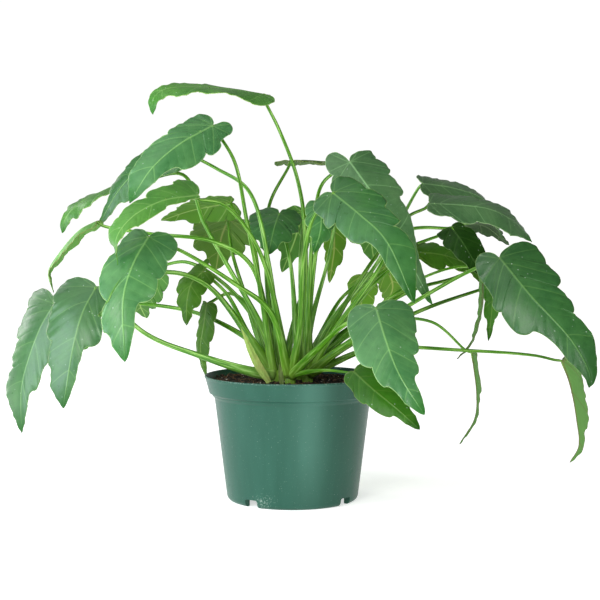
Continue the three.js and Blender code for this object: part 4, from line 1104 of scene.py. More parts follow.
@dataclass
class Blade:
    """A leaf blade as a thin sheet with a midrib, side veins, low pillows between them and a waved
    margin. Sizes are in mm where nothing else is said."""

    leaf: Leaf
    seed: int
    cup: float = -0.16
    wave: float = 0.035
    ripples: float = 17.0
    sag: float = 0.35
    sag_waves: Span = (9, 4)
    hang_reach: float = 0.32
    rounding: float = 0.55
    base_back: float = 0.5
    tip_along: float = 0.4
    tip_out: float = 0.62
    tip_end: Span = (0.975, 0.14)
    step: float = 1.7
    columns: tuple[float, ...] = (0.025, 0.06, 0.11, 0.18, 0.26, 0.35, 0.44, 0.54, 0.64, 0.74, 0.83, 0.91,
                                  0.96, 1.0)
    vein_bend: float = 1.18
    vein_taper: float = 0.45
    rib_taper: float = 0.6
    thickness: float = 0.7
    rim_thickness: float = 0.44
    rim_reach: float = 2.5
    rib_height: float = 0.22
    rib_reach: float = 0.8
    keel: float = 0.9
    keel_reach: float = 1.3
    vein_height: float = 0.16
    vein_reach: float = 0.7
    pillow: float = 0.27
    pillow_reach: float = 3.2
    thread_depth: float = 2.6
    frill: float = 0.34
    frill_length: float = 11.0
    fine_frill: float = 0.5
    fine_frill_waves: float = 3.1

    def __post_init__(self) -> None:
        """Reads the midrib and draws the leaf's own phases."""
        self.course = Course(self.leaf.midrib)
        self.right = unit(np.array(self.leaf.right, float))
        self.phases = np.random.default_rng(SEED + self.seed).uniform(0, 2 * math.pi, 6)

    def frames(self, along: np.ndarray) -> tuple[np.ndarray, np.ndarray, np.ndarray]:
        """Finds where the midrib runs and how the blade lies there.

        Args:
            along: shares of the midrib's length; past its ends it goes on straight.

        Returns:
            Points on the midrib, and the directions up from and across the blade.
        """
        held = np.clip(along, 0, 1)
        tangent = self.course.tangent(held)
        up = unit(np.cross(self.right, tangent))
        angle = np.radians(held**2 * self.leaf.twist)[:, None]
        up = up * np.cos(angle) + np.cross(tangent, up) * np.sin(angle)
        origin = self.course.at(held) + tangent * ((along - held) * self.course.length)[:, None]
        return origin, up, np.cross(tangent, up)

    def surface(self, along: np.ndarray, out: np.ndarray, hand: int) -> np.ndarray:
        """Finds points of the middle surface.

        Args:
            along: shares of the midrib's length.
            out: shares of the half width.
            hand: 1 for the right half and -1 for the left.

        Returns:
            The points, one a row.
        """
        width = self.leaf.widths[1 if hand > 0 else 0]
        origin, up, side = self.frames(along)
        rise = math.radians(self.leaf.fold)
        ripple = self.wave * np.sin(along * self.ripples + hand + self.leaf.midrib[0][0])
        lift = out * width * math.sin(rise) + out**2 * width * (self.cup + ripple)
        if hand < 0:
            lift = lift - self.leaf.hang * out * np.clip(1 - along / self.hang_reach, 0, 1)
        lengthwise = np.sin(along * self.sag_waves[0] + self.phases[0])
        lift = lift + self.sag * lengthwise * np.sin(out * self.sag_waves[1] * hand + self.phases[1])
        return origin + side * (hand * out * width * math.cos(rise))[:, None] + up * lift[:, None]

    def bends(self, edge: Edge, lobe: float) -> list[np.ndarray]:
        """Lists the curves of half an outline.

        Args:
            edge: the points it passes.
            lobe: how far the base lobe reaches back, as a share of the length.

        Returns:
            For each curve its start, two handles and end.
        """
        def outward(a: tuple, b: tuple) -> np.ndarray:
            """Leaves sideways and arrives lengthwise."""
            return np.array([a, (a[0], a[1] + self.rounding * (b[1] - a[1])),
                             (b[0] + self.rounding * (a[0] - b[0]), b[1]), b])

        def inward(a: tuple, b: tuple) -> np.ndarray:
            """Leaves lengthwise and arrives sideways."""
            return np.array([a, (a[0] + self.rounding * (b[0] - a[0]), a[1]),
                             (b[0], b[1] + self.rounding * (a[1] - b[1])), b])

        back = (-lobe, self.base_back * edge[0][1])
        made = [inward((0, 0), back), outward(back, edge[0])]
        for i in range(1, len(edge)):
            made.append((inward if i % 2 else outward)(edge[i - 1], edge[i]))
        along, out = edge[-1]
        handle = (along + self.tip_along * (1 - along), out * self.tip_out)
        made.append(np.array([(along, out), handle, self.tip_end, (1, 0)]))
        return made

    def outlines(self) -> tuple[list[np.ndarray], list[int]]:
        """Samples both halves of the outline with the same number of rows.

        Returns:
            The left and the right half as rows [along, out], and the rows at which curves end.
        """
        halves = [self.bends(edge, lobe) for edge, lobe in
                  zip((self.leaf.left_edge, self.leaf.right_edge), self.leaf.lobes)]
        rows = [[np.zeros(2)], [np.zeros(2)]]
        ends = []
        for pair in zip(*halves):
            spans = []
            for curve, width in zip(pair, self.leaf.widths):
                run = np.diff(curve, axis=0) * (self.course.length, width)
                spans.append(np.linalg.norm(run, axis=1).sum())
            steps = max(2, round(max(spans) / self.step))
            t = (np.arange(1, steps + 1) / steps)[:, None]
            for half, c in zip(rows, pair):
                half.extend((1 - t)**3 * c[0] + 3 * (1 - t)**2 * t * c[1] + 3 * (1 - t) * t**2 * c[2]
                            + t**3 * c[3])
            ends.append(len(rows[0]) - 1)
        return [np.array(half) for half in rows], ends

    def net(self) -> Net:
        """Lays rows from the midrib to the outline, which run along the side veins.

        Returns:
            The middle surface.
        """
        halves, ends = self.outlines()
        last = len(halves[0]) - 1
        slimness = sum(self.leaf.widths) / 2 / self.course.length
        leaning = np.mean([half[:, 0] - half[:, 1] * slimness for half in halves], axis=0)
        starts = np.maximum.accumulate(np.maximum(leaning, 0))
        starts[last] = 1.0
        mids, places = [0], [0.0]
        for start in starts[1:]:
            if start - places[-1] > 1e-4:
                places.append(float(start))
            mids.append(len(places) - 1)
        places, shares = np.array(places), np.array(self.columns)
        points = [self.surface(places, np.zeros(len(places)), 1)]
        alongs, outs = [places], [np.zeros(len(places))]
        grids, count = {}, len(places)
        for hand in (-1, 1):
            edge = halves[1 if hand > 0 else 0][1:last]
            run = (edge[:, 0] - starts[1:last])[:, None] * shares**self.vein_bend
            along = (starts[1:last, None] + run).ravel()
            points.append(self.surface(along, (edge[:, 1][:, None] * shares).ravel(), hand))
            alongs.append(along)
            outs.append(np.tile(shares, last - 1))
            grid = np.zeros((last + 1, len(shares) + 1), int)
            grid[:, 0] = mids
            grid[1:last, 1:] = count + np.arange((last - 1) * len(shares)).reshape(last - 1, -1)
            grid[last] = mids[last]
            grids[hand] = grid
            count += len(along)
        return Net(np.vstack(points), np.concatenate(alongs), np.concatenate(outs), grids, ends)

    def build(self, name: str, materials: list[Material], slot: Slot, replaced: str) -> None:
        """Gives the net its relief and its two faces.

        Args:
            name: the piece's name.
            materials: the upper face's and the underside's material.
            slot: the piece's slot.
            replaced: the CAD node it stands for.
        """
        net = self.net()
        quads, near = net.quads(), net.distances()
        near["rib"] = near["rib"] / (1 - self.rib_taper * np.clip(net.along, 0, 1))
        near["vein"] = near["vein"] / (1 - self.vein_taper * net.share)
        normals = net.normals(quads)
        nearest = np.minimum(np.minimum(near["vein"], near["rib"]), near["thread"] + self.thread_depth)
        hills = self.pillow * (1 - np.exp(-(nearest / self.pillow_reach)**2))
        turns = net.arcs() * math.pi / self.frill_length
        frill = self.frill * net.share**6 * np.sin(turns * 2 + self.phases[2])
        fine = np.sin(turns * self.fine_frill_waves + self.phases[3])
        frill = frill + self.fine_frill * self.frill * net.share**8 * fine
        middle = net.points + normals * (hills + frill - self.pillow / 2)[:, None]
        inward = np.clip(near["margin"] / self.rim_reach, 0, 1)
        half = (self.rim_thickness + (self.thickness - self.rim_thickness) * inward) / 2
        crest = self.rib_height * np.exp(-(near["rib"] / self.rib_reach)**2)
        keel = self.keel * (1 - np.clip(net.along, 0, 1)) * np.exp(-(near["rib"] / self.keel_reach)**2)
        raised = self.vein_height * np.exp(-(near["vein"] / self.vein_reach)**2)
        upper = middle + normals * (half + crest)[:, None]
        under = middle - normals * (half + keel + raised)[:, None]
        count = len(middle)
        faces = quads + [tuple(i + count for i in reversed(quad)) for quad in quads]
        numbers = [0] * len(quads) + [1] * len(quads)
        loop = list(net.grids[1][:, -1][:-1]) + list(net.grids[-1][:, -1][:0:-1])
        for a, b in zip(loop, loop[1:] + loop[:1]):
            if a != b:
                faces.append((int(a), int(a) + count, int(b) + count, int(b)))
                numbers.append(0)
        shell = Shell(name)
        # The tint carries the leaf's light: partly its own tone, partly painted light and shade
        shell.add(np.vstack([upper, under]), faces, numbers,
                  **{line: np.tile(values, 2) for line, values in near.items()},
                  reach=np.tile(net.along, 2), tint=np.full(2 * count, self.leaf.light))
        shell.build(materials, slot, replaced=(replaced,))


@dataclass
class Crown:
    """One crown of the plant: its short stem and the stalks of its leaves. A stalk starts wide in the
    sheathing foot, tapers, and ends in the midrib's underside. The stem is given as points
    [height, radius]."""

    name: str
    place: Span
    light: float
    stem: Edge = ((84.0, 5.2), (95.0, 5.1), (104.0, 4.9), (111.5, 4.6), (113.5, 1.0))
    stem_light: float = 0.9
    stalk_foot: float = 108.5
    foot_lean: float = 4.6 / 3
    least_light: float = 0.76
    light_spread: float = 0.48
    foot_radius: float = 4.9
    mid_radius: float = 2.4
    end_radius: float = 1.35
    flare: float = 100.0
    below: float = 5.0
    behind: float = 2.0
    sunk: float = 0.95
    reach: float = 12.0
    tip_radius: float = 0.5
    tip_rows: int = 5
    step: float = 3.5
    sides: int = 14
    groove: float = 0.16
    groove_width: float = 0.5

    def course(self, leaf: Leaf) -> Course:
        """Finds the way of a leaf's stalk from the stem to the joint.

        Args:
            leaf: the leaf.

        Returns:
            The course.
        """
        x, y = self.place
        first = np.array(leaf.via[0], float)
        lean = unit(np.array([first[0] - x, first[1] - y, 0.0]))
        foot = np.array([x, y, self.stalk_foot]) + lean * self.foot_lean
        joint, along = np.array(leaf.midrib[0], float), np.array(leaf.midrib[1], float)
        along = unit(along - joint)
        up = unit(np.cross(np.array(leaf.right, float), along))
        below = joint - up * self.below - along * self.behind
        return Course((tuple(foot), *leaf.via, tuple(below), tuple(joint)))

    def add_stalk(self, shell: Shell, leaf: Leaf, number: int) -> None:
        """Adds a leaf's stalk.

        Args:
            shell: the crown's mesh.
            leaf: the leaf.
            number: the leaf's number, which seeds its own colour.
        """
        course = self.course(leaf)
        blade = Blade(leaf, number)
        rows = max(8, round(course.length / self.step))
        shares = np.linspace(0, 1, rows)[:-1]
        under_shares = np.linspace(0, self.reach / blade.course.length, self.tip_rows)
        origin, up, _ = blade.frames(under_shares)
        points = np.vstack([course.at(shares), origin - up * self.sunk])
        ways = shares * course.length
        slim = self.mid_radius + (self.end_radius - self.mid_radius) * shares
        slim = slim + (self.foot_radius - self.mid_radius) * np.maximum(0, 1 - ways / self.flare)**2
        tip = np.linspace(self.end_radius, self.tip_radius, self.tip_rows)
        radii = leaf.girth * np.concatenate([slim, tip])
        way = np.concatenate([shares, np.full(self.tip_rows, 1.0)])
        run = np.concatenate([ways, course.length + under_shares * blade.course.length])
        drawn = np.random.default_rng(SEED * 3 + number).random()
        # The crown's share and the leaf's `stalk` paint light and shade onto the stalk; the drawn share
        # varies it at random
        tint = self.light * leaf.stalk * (self.least_light + self.light_spread * drawn)
        self.tube(shell, points, radii, run, way=way, tint=np.full(len(way), tint))

    def tube(self, shell: Shell, points: np.ndarray, radii: np.ndarray, run: np.ndarray,
             **kept: np.ndarray) -> None:
        """Adds a round rod with a shallow groove along one side.

        Args:
            shell: the mesh.
            points: the rod's middle line.
            radii: its radius at each point.
            run: how far along the rod each point is, in mm.
            kept: an attribute's value at each point.
        """
        tangents = unit(np.gradient(points, axis=0))
        across = np.array([0.0, 1.0, 0.0]) if abs(tangents[0][1]) < 0.8 else np.array([1.0, 0.0, 0.0])
        angles = np.arange(self.sides) / self.sides * 2 * math.pi
        dent = 1 - self.groove * np.exp(-((angles - math.pi) / self.groove_width)**2)
        rings, skins = [], []
        for point, tangent, radius, way in zip(points, tangents, radii, run):
            across = unit(across - tangent * np.dot(across, tangent))
            up = np.cross(tangent, across)
            rays = np.cos(angles)[:, None] * across + np.sin(angles)[:, None] * up
            rings.append(point + rays * (radius * dent)[:, None])
            skins.append(np.stack([np.cos(angles) * radius, np.sin(angles) * radius,
                                   np.full(self.sides, way)], axis=1))
        faces = [tuple(range(self.sides - 1, -1, -1))]
        for i in range(len(points) - 1):
            for k in range(self.sides):
                a, b = i * self.sides + k, i * self.sides + (k + 1) % self.sides
                faces.append((a, b, b + self.sides, a + self.sides))
        faces.append(tuple((len(points) - 1) * self.sides + k for k in range(self.sides)))
        repeated = {name: np.repeat(values, self.sides) for name, values in kept.items()}
        shell.add(np.vstack(rings), faces, skin=np.vstack(skins), **repeated)

    def build(self, material: Material) -> None:
        """Makes the crown.

        Args:
            material: the stalks' material.
        """
        shell = Shell(f"stalks_{self.name}")
        heights, radii = np.array(self.stem).T
        points = np.array([(*self.place, z) for z in heights])
        self.tube(shell, points, radii, heights, way=np.zeros(len(heights)),
                  tint=np.full(len(heights), self.stem_light))
        for number, leaf in enumerate(LEAVES, 1):
            if leaf.crown == self.name:
                self.add_stalk(shell, leaf, number)
        shell.build([material], Slot.STALKS, replaced=(f"crown_{self.name}",))


def turned(shell: Shell, profile: list[Span], segments: int) -> None:
    """Adds a closed turned shape about Z.

    Args:
        shell: the mesh.
        profile: points [radius, height] from the axis out and back to the axis.
        segments: how many steps go round.
    """
    angles = np.arange(segments) / segments * 2 * math.pi
    inner = profile[1:-1]
    rings = [np.stack([r * np.cos(angles), r * np.sin(angles), np.full(segments, z)], axis=1)
             for r, z in inner]
    first, last = len(inner) * segments, len(inner) * segments + 1
    points = np.vstack(rings + [[(0, 0, profile[0][1])], [(0, 0, profile[-1][1])]])
    faces = []
    for k in range(segments):
        turn = (k + 1) % segments
        faces.append((first, turn, k))
        top = (len(inner) - 1) * segments
        faces.append((last, top + k, top + turn))
        for i in range(len(inner) - 1):
            a, b = i * segments + k, i * segments + turn
            faces.append((a, b, b + segments, a + segments))
    shell.add(points, faces)


@dataclass
class NurseryPot:
    """The pot: rolled lip, tapered band, shoulder with two ring lines, tapering body, foot skirt and
    four drain notches in the bottom corner. Its bends are points [radius, height] from the body's
    top, the band's foot and the rim."""

    height: float = 108.0
    wall: float = 1.6
    rim_radius: float = 76.4
    band_foot_radius: float = 72.5
    band_height: float = 14.6
    shoulder_height: float = 4.5
    body_top_radius: float = 67.7
    body_foot_radius: float = 57.3
    corner_height: float = 5.0
    foot_radius: float = 53.5
    foot_inner_radius: float = 51.0
    floor_height: float = 8.0
    floor_bevel: float = 1.0
    foot_bevel: float = 0.3
    corner_angles: tuple[float, ...] = (74, 58, 42, 28, 14, 0)
    body_heights: Span = (12.0, 1.2)
    body_rows: int = 10
    shoulder_bend: Edge = ((0, -0.5), (0.5, 0.1), (1.7, 1.5), (2.1, 2.1), (2.2, 2.5))
    band_bend: Edge = ((-0.9, -0.7), (-0.2, -0.25), (0, 0.3))
    band_inset: float = 0.15
    band_rows: tuple[float, ...] = (97.4, 101.4, 104.8, 105.4)
    lip_bend: Edge = ((-0.25, -1.9), (0, -1.2), (-0.15, -0.5), (-0.55, -0.1), (-1.1, 0), (-1.55, -0.3),
                      (-1.7, -1.0))
    segments: int = 192
    notches: int = 4
    first_notch: float = -38.0
    notch_width: float = 13.0
    notch_height: float = 6.8
    notch_depth: float = 14.0
    notch_corner: float = 1.6
    sharp_angle: float = 38.0

    def profile(self) -> list[Span]:
        """Lists the wall's outline from the floor's underside out, up, over the lip and back in.

        Returns:
            Points [radius, height].
        """
        band = self.height - self.band_height
        body = band - self.shoulder_height
        floor = self.floor_height + self.wall
        inside = self.foot_inner_radius
        outer = [(0, self.floor_height), (inside - self.floor_bevel, self.floor_height),
                 (inside, self.floor_height - self.floor_bevel), (inside, self.foot_bevel),
                 (inside + self.foot_bevel, 0), (self.foot_radius, 0)]
        round_off = self.body_foot_radius - self.foot_radius
        outer += [(self.foot_radius + round_off * math.cos(a), self.corner_height * (1 - math.sin(a)))
                  for a in np.radians(self.corner_angles)]
        slope = (self.body_top_radius - self.body_foot_radius) / (body - self.corner_height)
        outer += [(self.body_foot_radius + slope * (z - self.corner_height), z)
                  for z in np.linspace(self.body_heights[0], body - self.body_heights[1], self.body_rows)]
        outer += [(self.body_top_radius + r, body + z) for r, z in self.shoulder_bend]
        outer += [(self.band_foot_radius + r, band + z) for r, z in self.band_bend]
        lean = (self.rim_radius - self.band_foot_radius) / self.band_height
        outer += [(self.band_foot_radius + lean * (z - band) - self.band_inset, z)
                  for z in self.band_rows]
        outer += [(self.rim_radius + r, self.height + z) for r, z in self.lip_bend]
        inner = [(self.band_foot_radius - self.wall, band + 0.8),
                 (self.body_top_radius - self.wall, body + 0.5),
                 (self.body_foot_radius - self.wall, floor + 1.5),
                 (self.body_foot_radius - self.wall - 1.5, floor), (0, floor)]
        return outer + inner

    def cutter(self) -> bpy.types.Object:
        """Makes the notches' cutting shapes, rounded at their upper corners.

        Returns:
            The cutting shapes as one object.
        """
        shell = Shell("notch_cutter")
        half, top, r = self.notch_width / 2, self.notch_height, self.notch_corner
        outline = [(-half, -1.0)]
        arc = np.radians((0, 22.5, 45, 67.5, 90))
        outline += [(-half + r - r * math.cos(a), top - r + r * math.sin(a)) for a in arc]
        outline += [(half - r + r * math.sin(a), top - r + r * math.cos(a)) for a in arc]
        outline.append((half, -1.0))
        near = -self.body_foot_radius - self.notch_depth / 2
        far = near + self.notch_depth
        size = len(outline)
        flat = np.array([(x, near, z) for x, z in outline] + [(x, far, z) for x, z in outline])
        faces = [tuple(range(size - 1, -1, -1)), tuple(range(size, 2 * size))]
        faces += [(k, (k + 1) % size, size + (k + 1) % size, size + k) for k in range(size)]
        for i in range(self.notches):
            a = math.radians(self.first_notch + i * 360 / self.notches)
            turn = np.array([[math.cos(a), -math.sin(a), 0], [math.sin(a), math.cos(a), 0], [0, 0, 1]])
            shell.add(flat @ turn.T, faces)
        return shell.build([], None, smooth=False)

    def build(self, material: Material) -> None:
        """Makes the pot.

        Args:
            material: the pot's plastic.
        """
        shell = Shell("nursery_pot")
        turned(shell, self.profile(), self.segments)
        pot = shell.build([material], Slot.POT, replaced=("pot",))
        cutter = self.cutter()
        cut = pot.modifiers.new("notches", "BOOLEAN")
        cut.operation, cut.object, cut.solver = "DIFFERENCE", cutter, "EXACT"
        bpy.context.view_layer.update()
        evaluated = pot.evaluated_get(bpy.context.evaluated_depsgraph_get())
        mesh = bpy.data.meshes.new_from_object(evaluated)
        pot.modifiers.clear()
        pot.data = mesh
        bpy.data.objects.remove(cutter)
        mesh.materials.clear()
        mesh.materials.append(material)
        mesh.polygons.foreach_set("material_index", [0] * len(mesh.polygons))
        mesh.set_sharp_from_angle(angle=math.radians(self.sharp_angle))


def lump_at(x: np.ndarray, y: np.ndarray) -> np.ndarray:
    """Gives the height of the potting mix's low lumps at a place, in mm."""
    broad = np.sin(x * 0.23 + 1.3) * np.cos(y * 0.19 - 0.4)
    return -0.02 * x + 1.6 * (0.6 * broad + 0.4 * np.sin(x * 0.51 - y * 0.37))


@dataclass
class PottingMix:
    """The potting mix in the pot, with loose crumbs, bark fibres and perlite on it, which keep a
    gap to its edge."""

    level: float = 101.5
    edge: float = 72.6
    floor: float = 10.0
    floor_radius: float = 53.4
    body_top: float = 88.9
    body_top_radius: float = 65.4
    rings: int = 60
    segments: int = 150
    grit: float = 0.8
    flat_edge: float = 3.0
    lump_gap: float = 2.0
    fibre_gap: float = 1.5
    crumbs: int = 900
    crumb_size: Span = (0.5, 1.7)
    perlite: int = 60
    perlite_size: Span = (0.5, 1.4)
    lump_roughness: float = 0.35
    lump_stretch: tuple[Span, Span, Span] = ((0.7, 1.3), (0.7, 1.3), (0.5, 0.9))
    lump_lift: float = 0.3
    fibres: int = 170
    fibre_length: Span = (4.0, 15.0)
    fibre_lean: Span = (-0.1, 0.3)
    fibre_curl: Span = (-0.9, 0.9)
    fibre_radius: Span = (0.18, 0.42)
    fibre_arch: float = 0.5
    fibre_flatness: float = 0.6
    fibre_lift: float = 0.3
    fibre_rows: int = 7
    fibre_sides: int = 5

    def __post_init__(self) -> None:
        """Seeds the random draws."""
        self.draw = random.Random(SEED)

    def height(self, x: np.ndarray, y: np.ndarray) -> np.ndarray:
        """Gives the surface's height with its finer grit.

        Args:
            x: places from left to right.
            y: places from front to back.

        Returns:
            The heights.
        """
        fine = np.sin(x * 1.7 + 3 * np.sin(y * 0.6)) * np.sin(y * 1.9 + 2 * np.sin(x * 0.7))
        finer = np.sin(x * 3.9 + 2 * np.sin(y * 1.3)) * np.sin(y * 3.5 + 2.5 * np.sin(x * 1.1))
        near = np.clip((self.edge - np.hypot(x, y)) / self.flat_edge, 0, 1)
        return self.level + near * (lump_at(x, y) + self.grit * (0.6 * fine + 0.4 * finer))

    def spot(self) -> Span:
        """Draws an even random place on the surface.

        Returns:
            The place's x and y.
        """
        radius = (self.edge - self.lump_gap) * math.sqrt(self.draw.random())
        angle = self.draw.uniform(0, 2 * math.pi)
        return radius * math.cos(angle), radius * math.sin(angle)

    def build_body(self, material: Material) -> None:
        """Makes the body of the mix.

        Args:
            material: its material.
        """
        shell = Shell("potting_mix")
        radii = np.linspace(self.edge, 0, self.rings + 1)[:-1]
        profile = [(0, self.floor), (self.floor_radius, self.floor), (self.body_top_radius, self.body_top)]
        profile += [(float(r), self.level) for r in radii] + [(0, self.level)]
        turned(shell, profile, self.segments)
        points = np.array(shell.points)
        top = points[:, 2] > self.level - 0.1
        points[top, 2] = self.height(points[top, 0], points[top, 1])
        shell.points = points.tolist()
        shell.build([material], Slot.SOIL, replaced=("soil",))

    def build_lumps(self, name: str, count: int, sizes: Span,
                    material: Material) -> None:
        """Makes small lumps that lie on the mix.

        Args:
            name: the piece's name.
            count: how many.
            sizes: the smallest and the largest radius.
            material: their material.
        """
        golden = (1 + math.sqrt(5)) / 2
        ball = unit(np.array([(0, s, t * golden) for s in (-1, 1) for t in (-1, 1)]
                             + [(s, t * golden, 0) for s in (-1, 1) for t in (-1, 1)]
                             + [(t * golden, 0, s) for s in (-1, 1) for t in (-1, 1)], float))
        sides = [(a, b, c) for a in range(12) for b in range(a + 1, 12) for c in range(b + 1, 12)
                 if max(np.linalg.norm(ball[p] - ball[q]) for p, q in ((a, b), (b, c), (c, a))) < 1.1]
        faces = []
        for a, b, c in sides:
            outward = np.dot(np.cross(ball[b] - ball[a], ball[c] - ball[a]), ball[a]) > 0
            faces.append((a, b, c) if outward else (a, c, b))
        shell = Shell(name)
        for _ in range(count):
            x, y = self.spot()
            size = sizes[0] + (sizes[1] - sizes[0]) * self.draw.random()**3
            rough = np.array([1 + self.lump_roughness * self.draw.uniform(-1, 1) for _ in ball])
            stretch = np.array([self.draw.uniform(*span) for span in self.lump_stretch])
            z = float(self.height(np.array(x), np.array(y))) + size * self.lump_lift
            shell.add(ball * rough[:, None] * stretch * size + (x, y, z), faces)
        shell.build([material], Slot.SOIL, smooth=False)

    def build_fibres(self, material: Material) -> None:
        """Makes thin bark fibres that lie on the mix.

        Args:
            material: their material.
        """
        shell = Shell("bark_fibres")
        count, size = self.fibre_rows, self.fibre_sides
        for _ in range(self.fibres):
            x, y = self.spot()
            length = self.draw.uniform(*self.fibre_length)
            turn, lean = self.draw.uniform(0, 2 * math.pi), self.draw.uniform(*self.fibre_lean)
            curl, radius = self.draw.uniform(*self.fibre_curl), self.draw.uniform(*self.fibre_radius)
            rows = []
            for k in range(count):
                t = k / (count - 1)
                angle = turn + curl * t
                place = np.array([x + length * t * math.cos(angle), y + length * t * math.sin(angle)])
                reach = math.hypot(*place)
                if reach > self.edge - self.fibre_gap:
                    place = place * (self.edge - self.fibre_gap) / reach
                rise = max(0.0, lean) * length * math.sin(math.pi * t) * self.fibre_arch
                rows.append((*place, float(self.height(*place)) + self.fibre_lift + rise))
            points = np.array(rows)
            tangents = unit(np.gradient(points, axis=0))
            side = unit(np.cross(tangents, (0, 0, 1)))
            up = np.cross(side, tangents)
            rings = np.stack([points + radius * (math.cos(a) * side + self.fibre_flatness * math.sin(a) * up)
                              for a in np.arange(size) / size * 2 * math.pi], axis=1).reshape(-1, 3)
            faces = [tuple(range(size)), tuple(range(count * size - 1, (count - 1) * size - 1, -1))]
            for i in range(0, (count - 1) * size, size):
                faces += [(i + (k + 1) % size, i + k, i + size + k, i + size + (k + 1) % size)
                          for k in range(size)]
            shell.add(rings, faces)
        shell.build([material], Slot.SOIL)


@dataclass(frozen=True)
class Lamp:
    """A soft light: where it stands, the point it faces, its width and height, and its power in
    watts. Places in metres."""

    name: str
    place: Point
    aim: Point
    size: Span
    power: float
    colour: str = "ffffff"

    def build(self) -> None:
        """Makes the light."""
        lamp = bpy.data.lights.new(self.name, "AREA")
        lamp.shape, (lamp.size, lamp.size_y) = "RECTANGLE", self.size
        lamp.energy, lamp.color = self.power, linear(self.colour)[:3]
        light = bpy.data.objects.new(self.name, lamp)
        light.location = self.place
        light.rotation_mode = "QUATERNION"
        light.rotation_quaternion = (Vector(self.aim) - Vector(self.place)).to_track_quat("-Z", "Y")
        light.visible_camera = False
        bpy.context.scene.collection.objects.link(light)


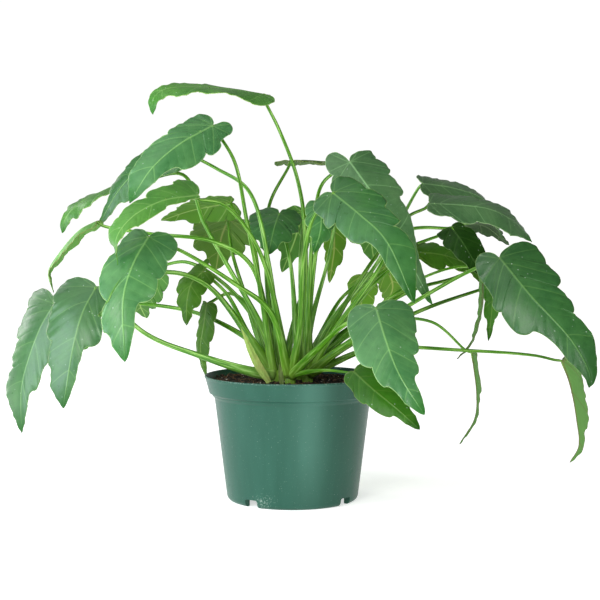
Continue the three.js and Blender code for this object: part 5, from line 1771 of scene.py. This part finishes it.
@dataclass
class Studio:
    """A white table, soft lights and the camera of the photo. Places in metres, directions as shares
    of the unit vector."""

    lamps: tuple[Lamp, ...] = (
        Lamp("window", (-1.5, -0.7, 0.5), (0.0, 0.0, 0.18), (1.0, 1.1), 25, "e6f1ff"),
        Lamp("front", (-0.7, -1.8, 0.8), (0.0, 0.0, 0.18), (0.8, 0.8), 18),
        Lamp("strip", (0.64, -1.26, 0.25), (0.0, 0.0, 0.06), (0.16, 0.6), 4),
        Lamp("edge", (-1.2, 0.9, 0.5), (0.0, 0.0, 0.12), (0.4, 1.1), 5),
    )
    ceiling_from: Point = (-0.5, -0.35, 1.0)
    ceiling_power: float = 0.68
    ceiling_spread: float = 50.0
    floor_radius: float = 30.0
    floor_sides: int = 64
    wall: float = 1.03
    side_wall: float = 0.4
    wall_edges: Span = (0.7, 0.93)
    wall_tops: Span = (0.17, 0.3)
    ceiling: float = 0.2
    left_gain: float = 0.35
    left_edges: Span = (-1.0, 0.6)
    camera_place: Point = (0.0, -1.2, 0.239)
    camera_pitch: float = 3.159
    camera_yaw: float = 0.31
    lens: float = 83.2
    view_end: float = 50.0

    def build(self) -> None:
        """Sets up the table, the air, the lights and the camera."""
        shell = Shell("table_top")
        turn = np.linspace(0, 2 * math.pi, self.floor_sides + 1)[:-1]
        ring = np.stack([np.cos(turn), np.sin(turn), 0 * turn], axis=1) * self.floor_radius / MM
        shell.add(ring, [tuple(range(self.floor_sides))])
        shell.build([LightTable().make()], None)
        self.build_air()
        for lamp in self.lamps:
            lamp.build()
        self.build_ceiling_light()
        self.build_camera()

    def build_air(self) -> None:
        """Makes the world: a bright back wall, duller side walls and a dim ceiling."""
        world = bpy.data.worlds.new("studio_air")
        world.use_nodes = True
        tree = world.node_tree
        tree.nodes.clear()
        way = add_node(tree, "SeparateXYZ", {"Vector": add_node(tree, "TexCoord").outputs["Generated"]})
        back = add_node(tree, "MapRange", {
            "Value": way.outputs["Y"], FROM: self.wall_edges, TO: (self.side_wall, self.wall)})
        low = add_node(tree, "MapRange", {
            "Value": way.outputs["Z"], FROM: self.wall_tops, TO: (back.outputs[0], 0.0)})
        side = add_node(tree, "MapRange", {
            "Value": way.outputs["X"], FROM: self.left_edges,
            TO: (self.ceiling + self.left_gain, self.ceiling)})
        bright = add_node(tree, "Math", {0: low.outputs[0], 1: side.outputs[0]}, operation="MAXIMUM")
        air = add_node(tree, "Background", {"Color": (1, 1, 1, 1), "Strength": bright.outputs[0]})
        add_node(tree, "OutputWorld", {"Surface": air.outputs[0]})
        bpy.context.scene.world = world
        bpy.context.scene.view_settings.view_transform = "Standard"

    def build_ceiling_light(self) -> None:
        """Adds an even light from far above."""
        lamp = bpy.data.lights.new("ceiling_lamps", "SUN")
        lamp.energy, lamp.angle = self.ceiling_power, math.radians(self.ceiling_spread)
        light = bpy.data.objects.new("ceiling_lamps", lamp)
        light.rotation_mode = "QUATERNION"
        light.rotation_quaternion = (-Vector(self.ceiling_from)).to_track_quat("-Z", "Y")
        bpy.context.scene.collection.objects.link(light)

    def build_camera(self) -> None:
        """Adds the camera."""
        camera = bpy.data.objects.new("camera", bpy.data.cameras.new("camera"))
        camera.location = self.camera_place
        camera.rotation_euler = (math.radians(90 - self.camera_pitch), 0, math.radians(-self.camera_yaw))
        camera.data.lens = self.lens
        camera.data.clip_end = self.view_end
        bpy.context.scene.collection.objects.link(camera)
        bpy.context.scene.camera = camera


def main() -> None:
    """Builds the plant, its pot and the studio."""
    finishes = {tone: [WaxedLamina(tone).make(), WaxedLamina(tone).make_under()] for tone in Tone}
    for number, leaf in enumerate(LEAVES, 1):
        Blade(leaf, number).build(f"leaf_{number:02d}", finishes[leaf.tone], Slot.LEAF,
                                  f"blade_{number:02d}")
    stalk = Stalk().make()
    for name, (place, light) in CROWNS.items():
        Crown(name, place, light).build(stalk)
    paper = PaperySheath().make()
    for number, sheath in enumerate(SHEATHS, 1):
        blade = Blade(sheath, SHEATH_SEED + number, step=0.9, thickness=0.5, rim_thickness=0.4, keel=0.4,
                      pillow=0.1, frill=0.25, frill_length=7.0, sag=0.2)
        blade.build(f"old_sheath_{number}", [paper, paper], Slot.SHEATH, f"sheath_{number}")
    NurseryPot().build(MouldedPolypropylene().make())
    mix = PottingMix()
    mix.build_body(PeatMix("120d09", "33251b").make("peat_mix"))
    mix.build_lumps("peat_crumbs", mix.crumbs, mix.crumb_size,
                    PeatMix("18110c", "6a5240").make("peat_crumb"))
    mix.build_fibres(PeatMix("46301e", "8a6a48", 1.0).make("bark_fibre"))
    mix.build_lumps("perlite_bits", mix.perlite, mix.perlite_size,
                    PeatMix("a39a8c", "cfc8ba", 0.8).make("perlite"))
    Studio().build()


if __name__ == "__main__":
    main()
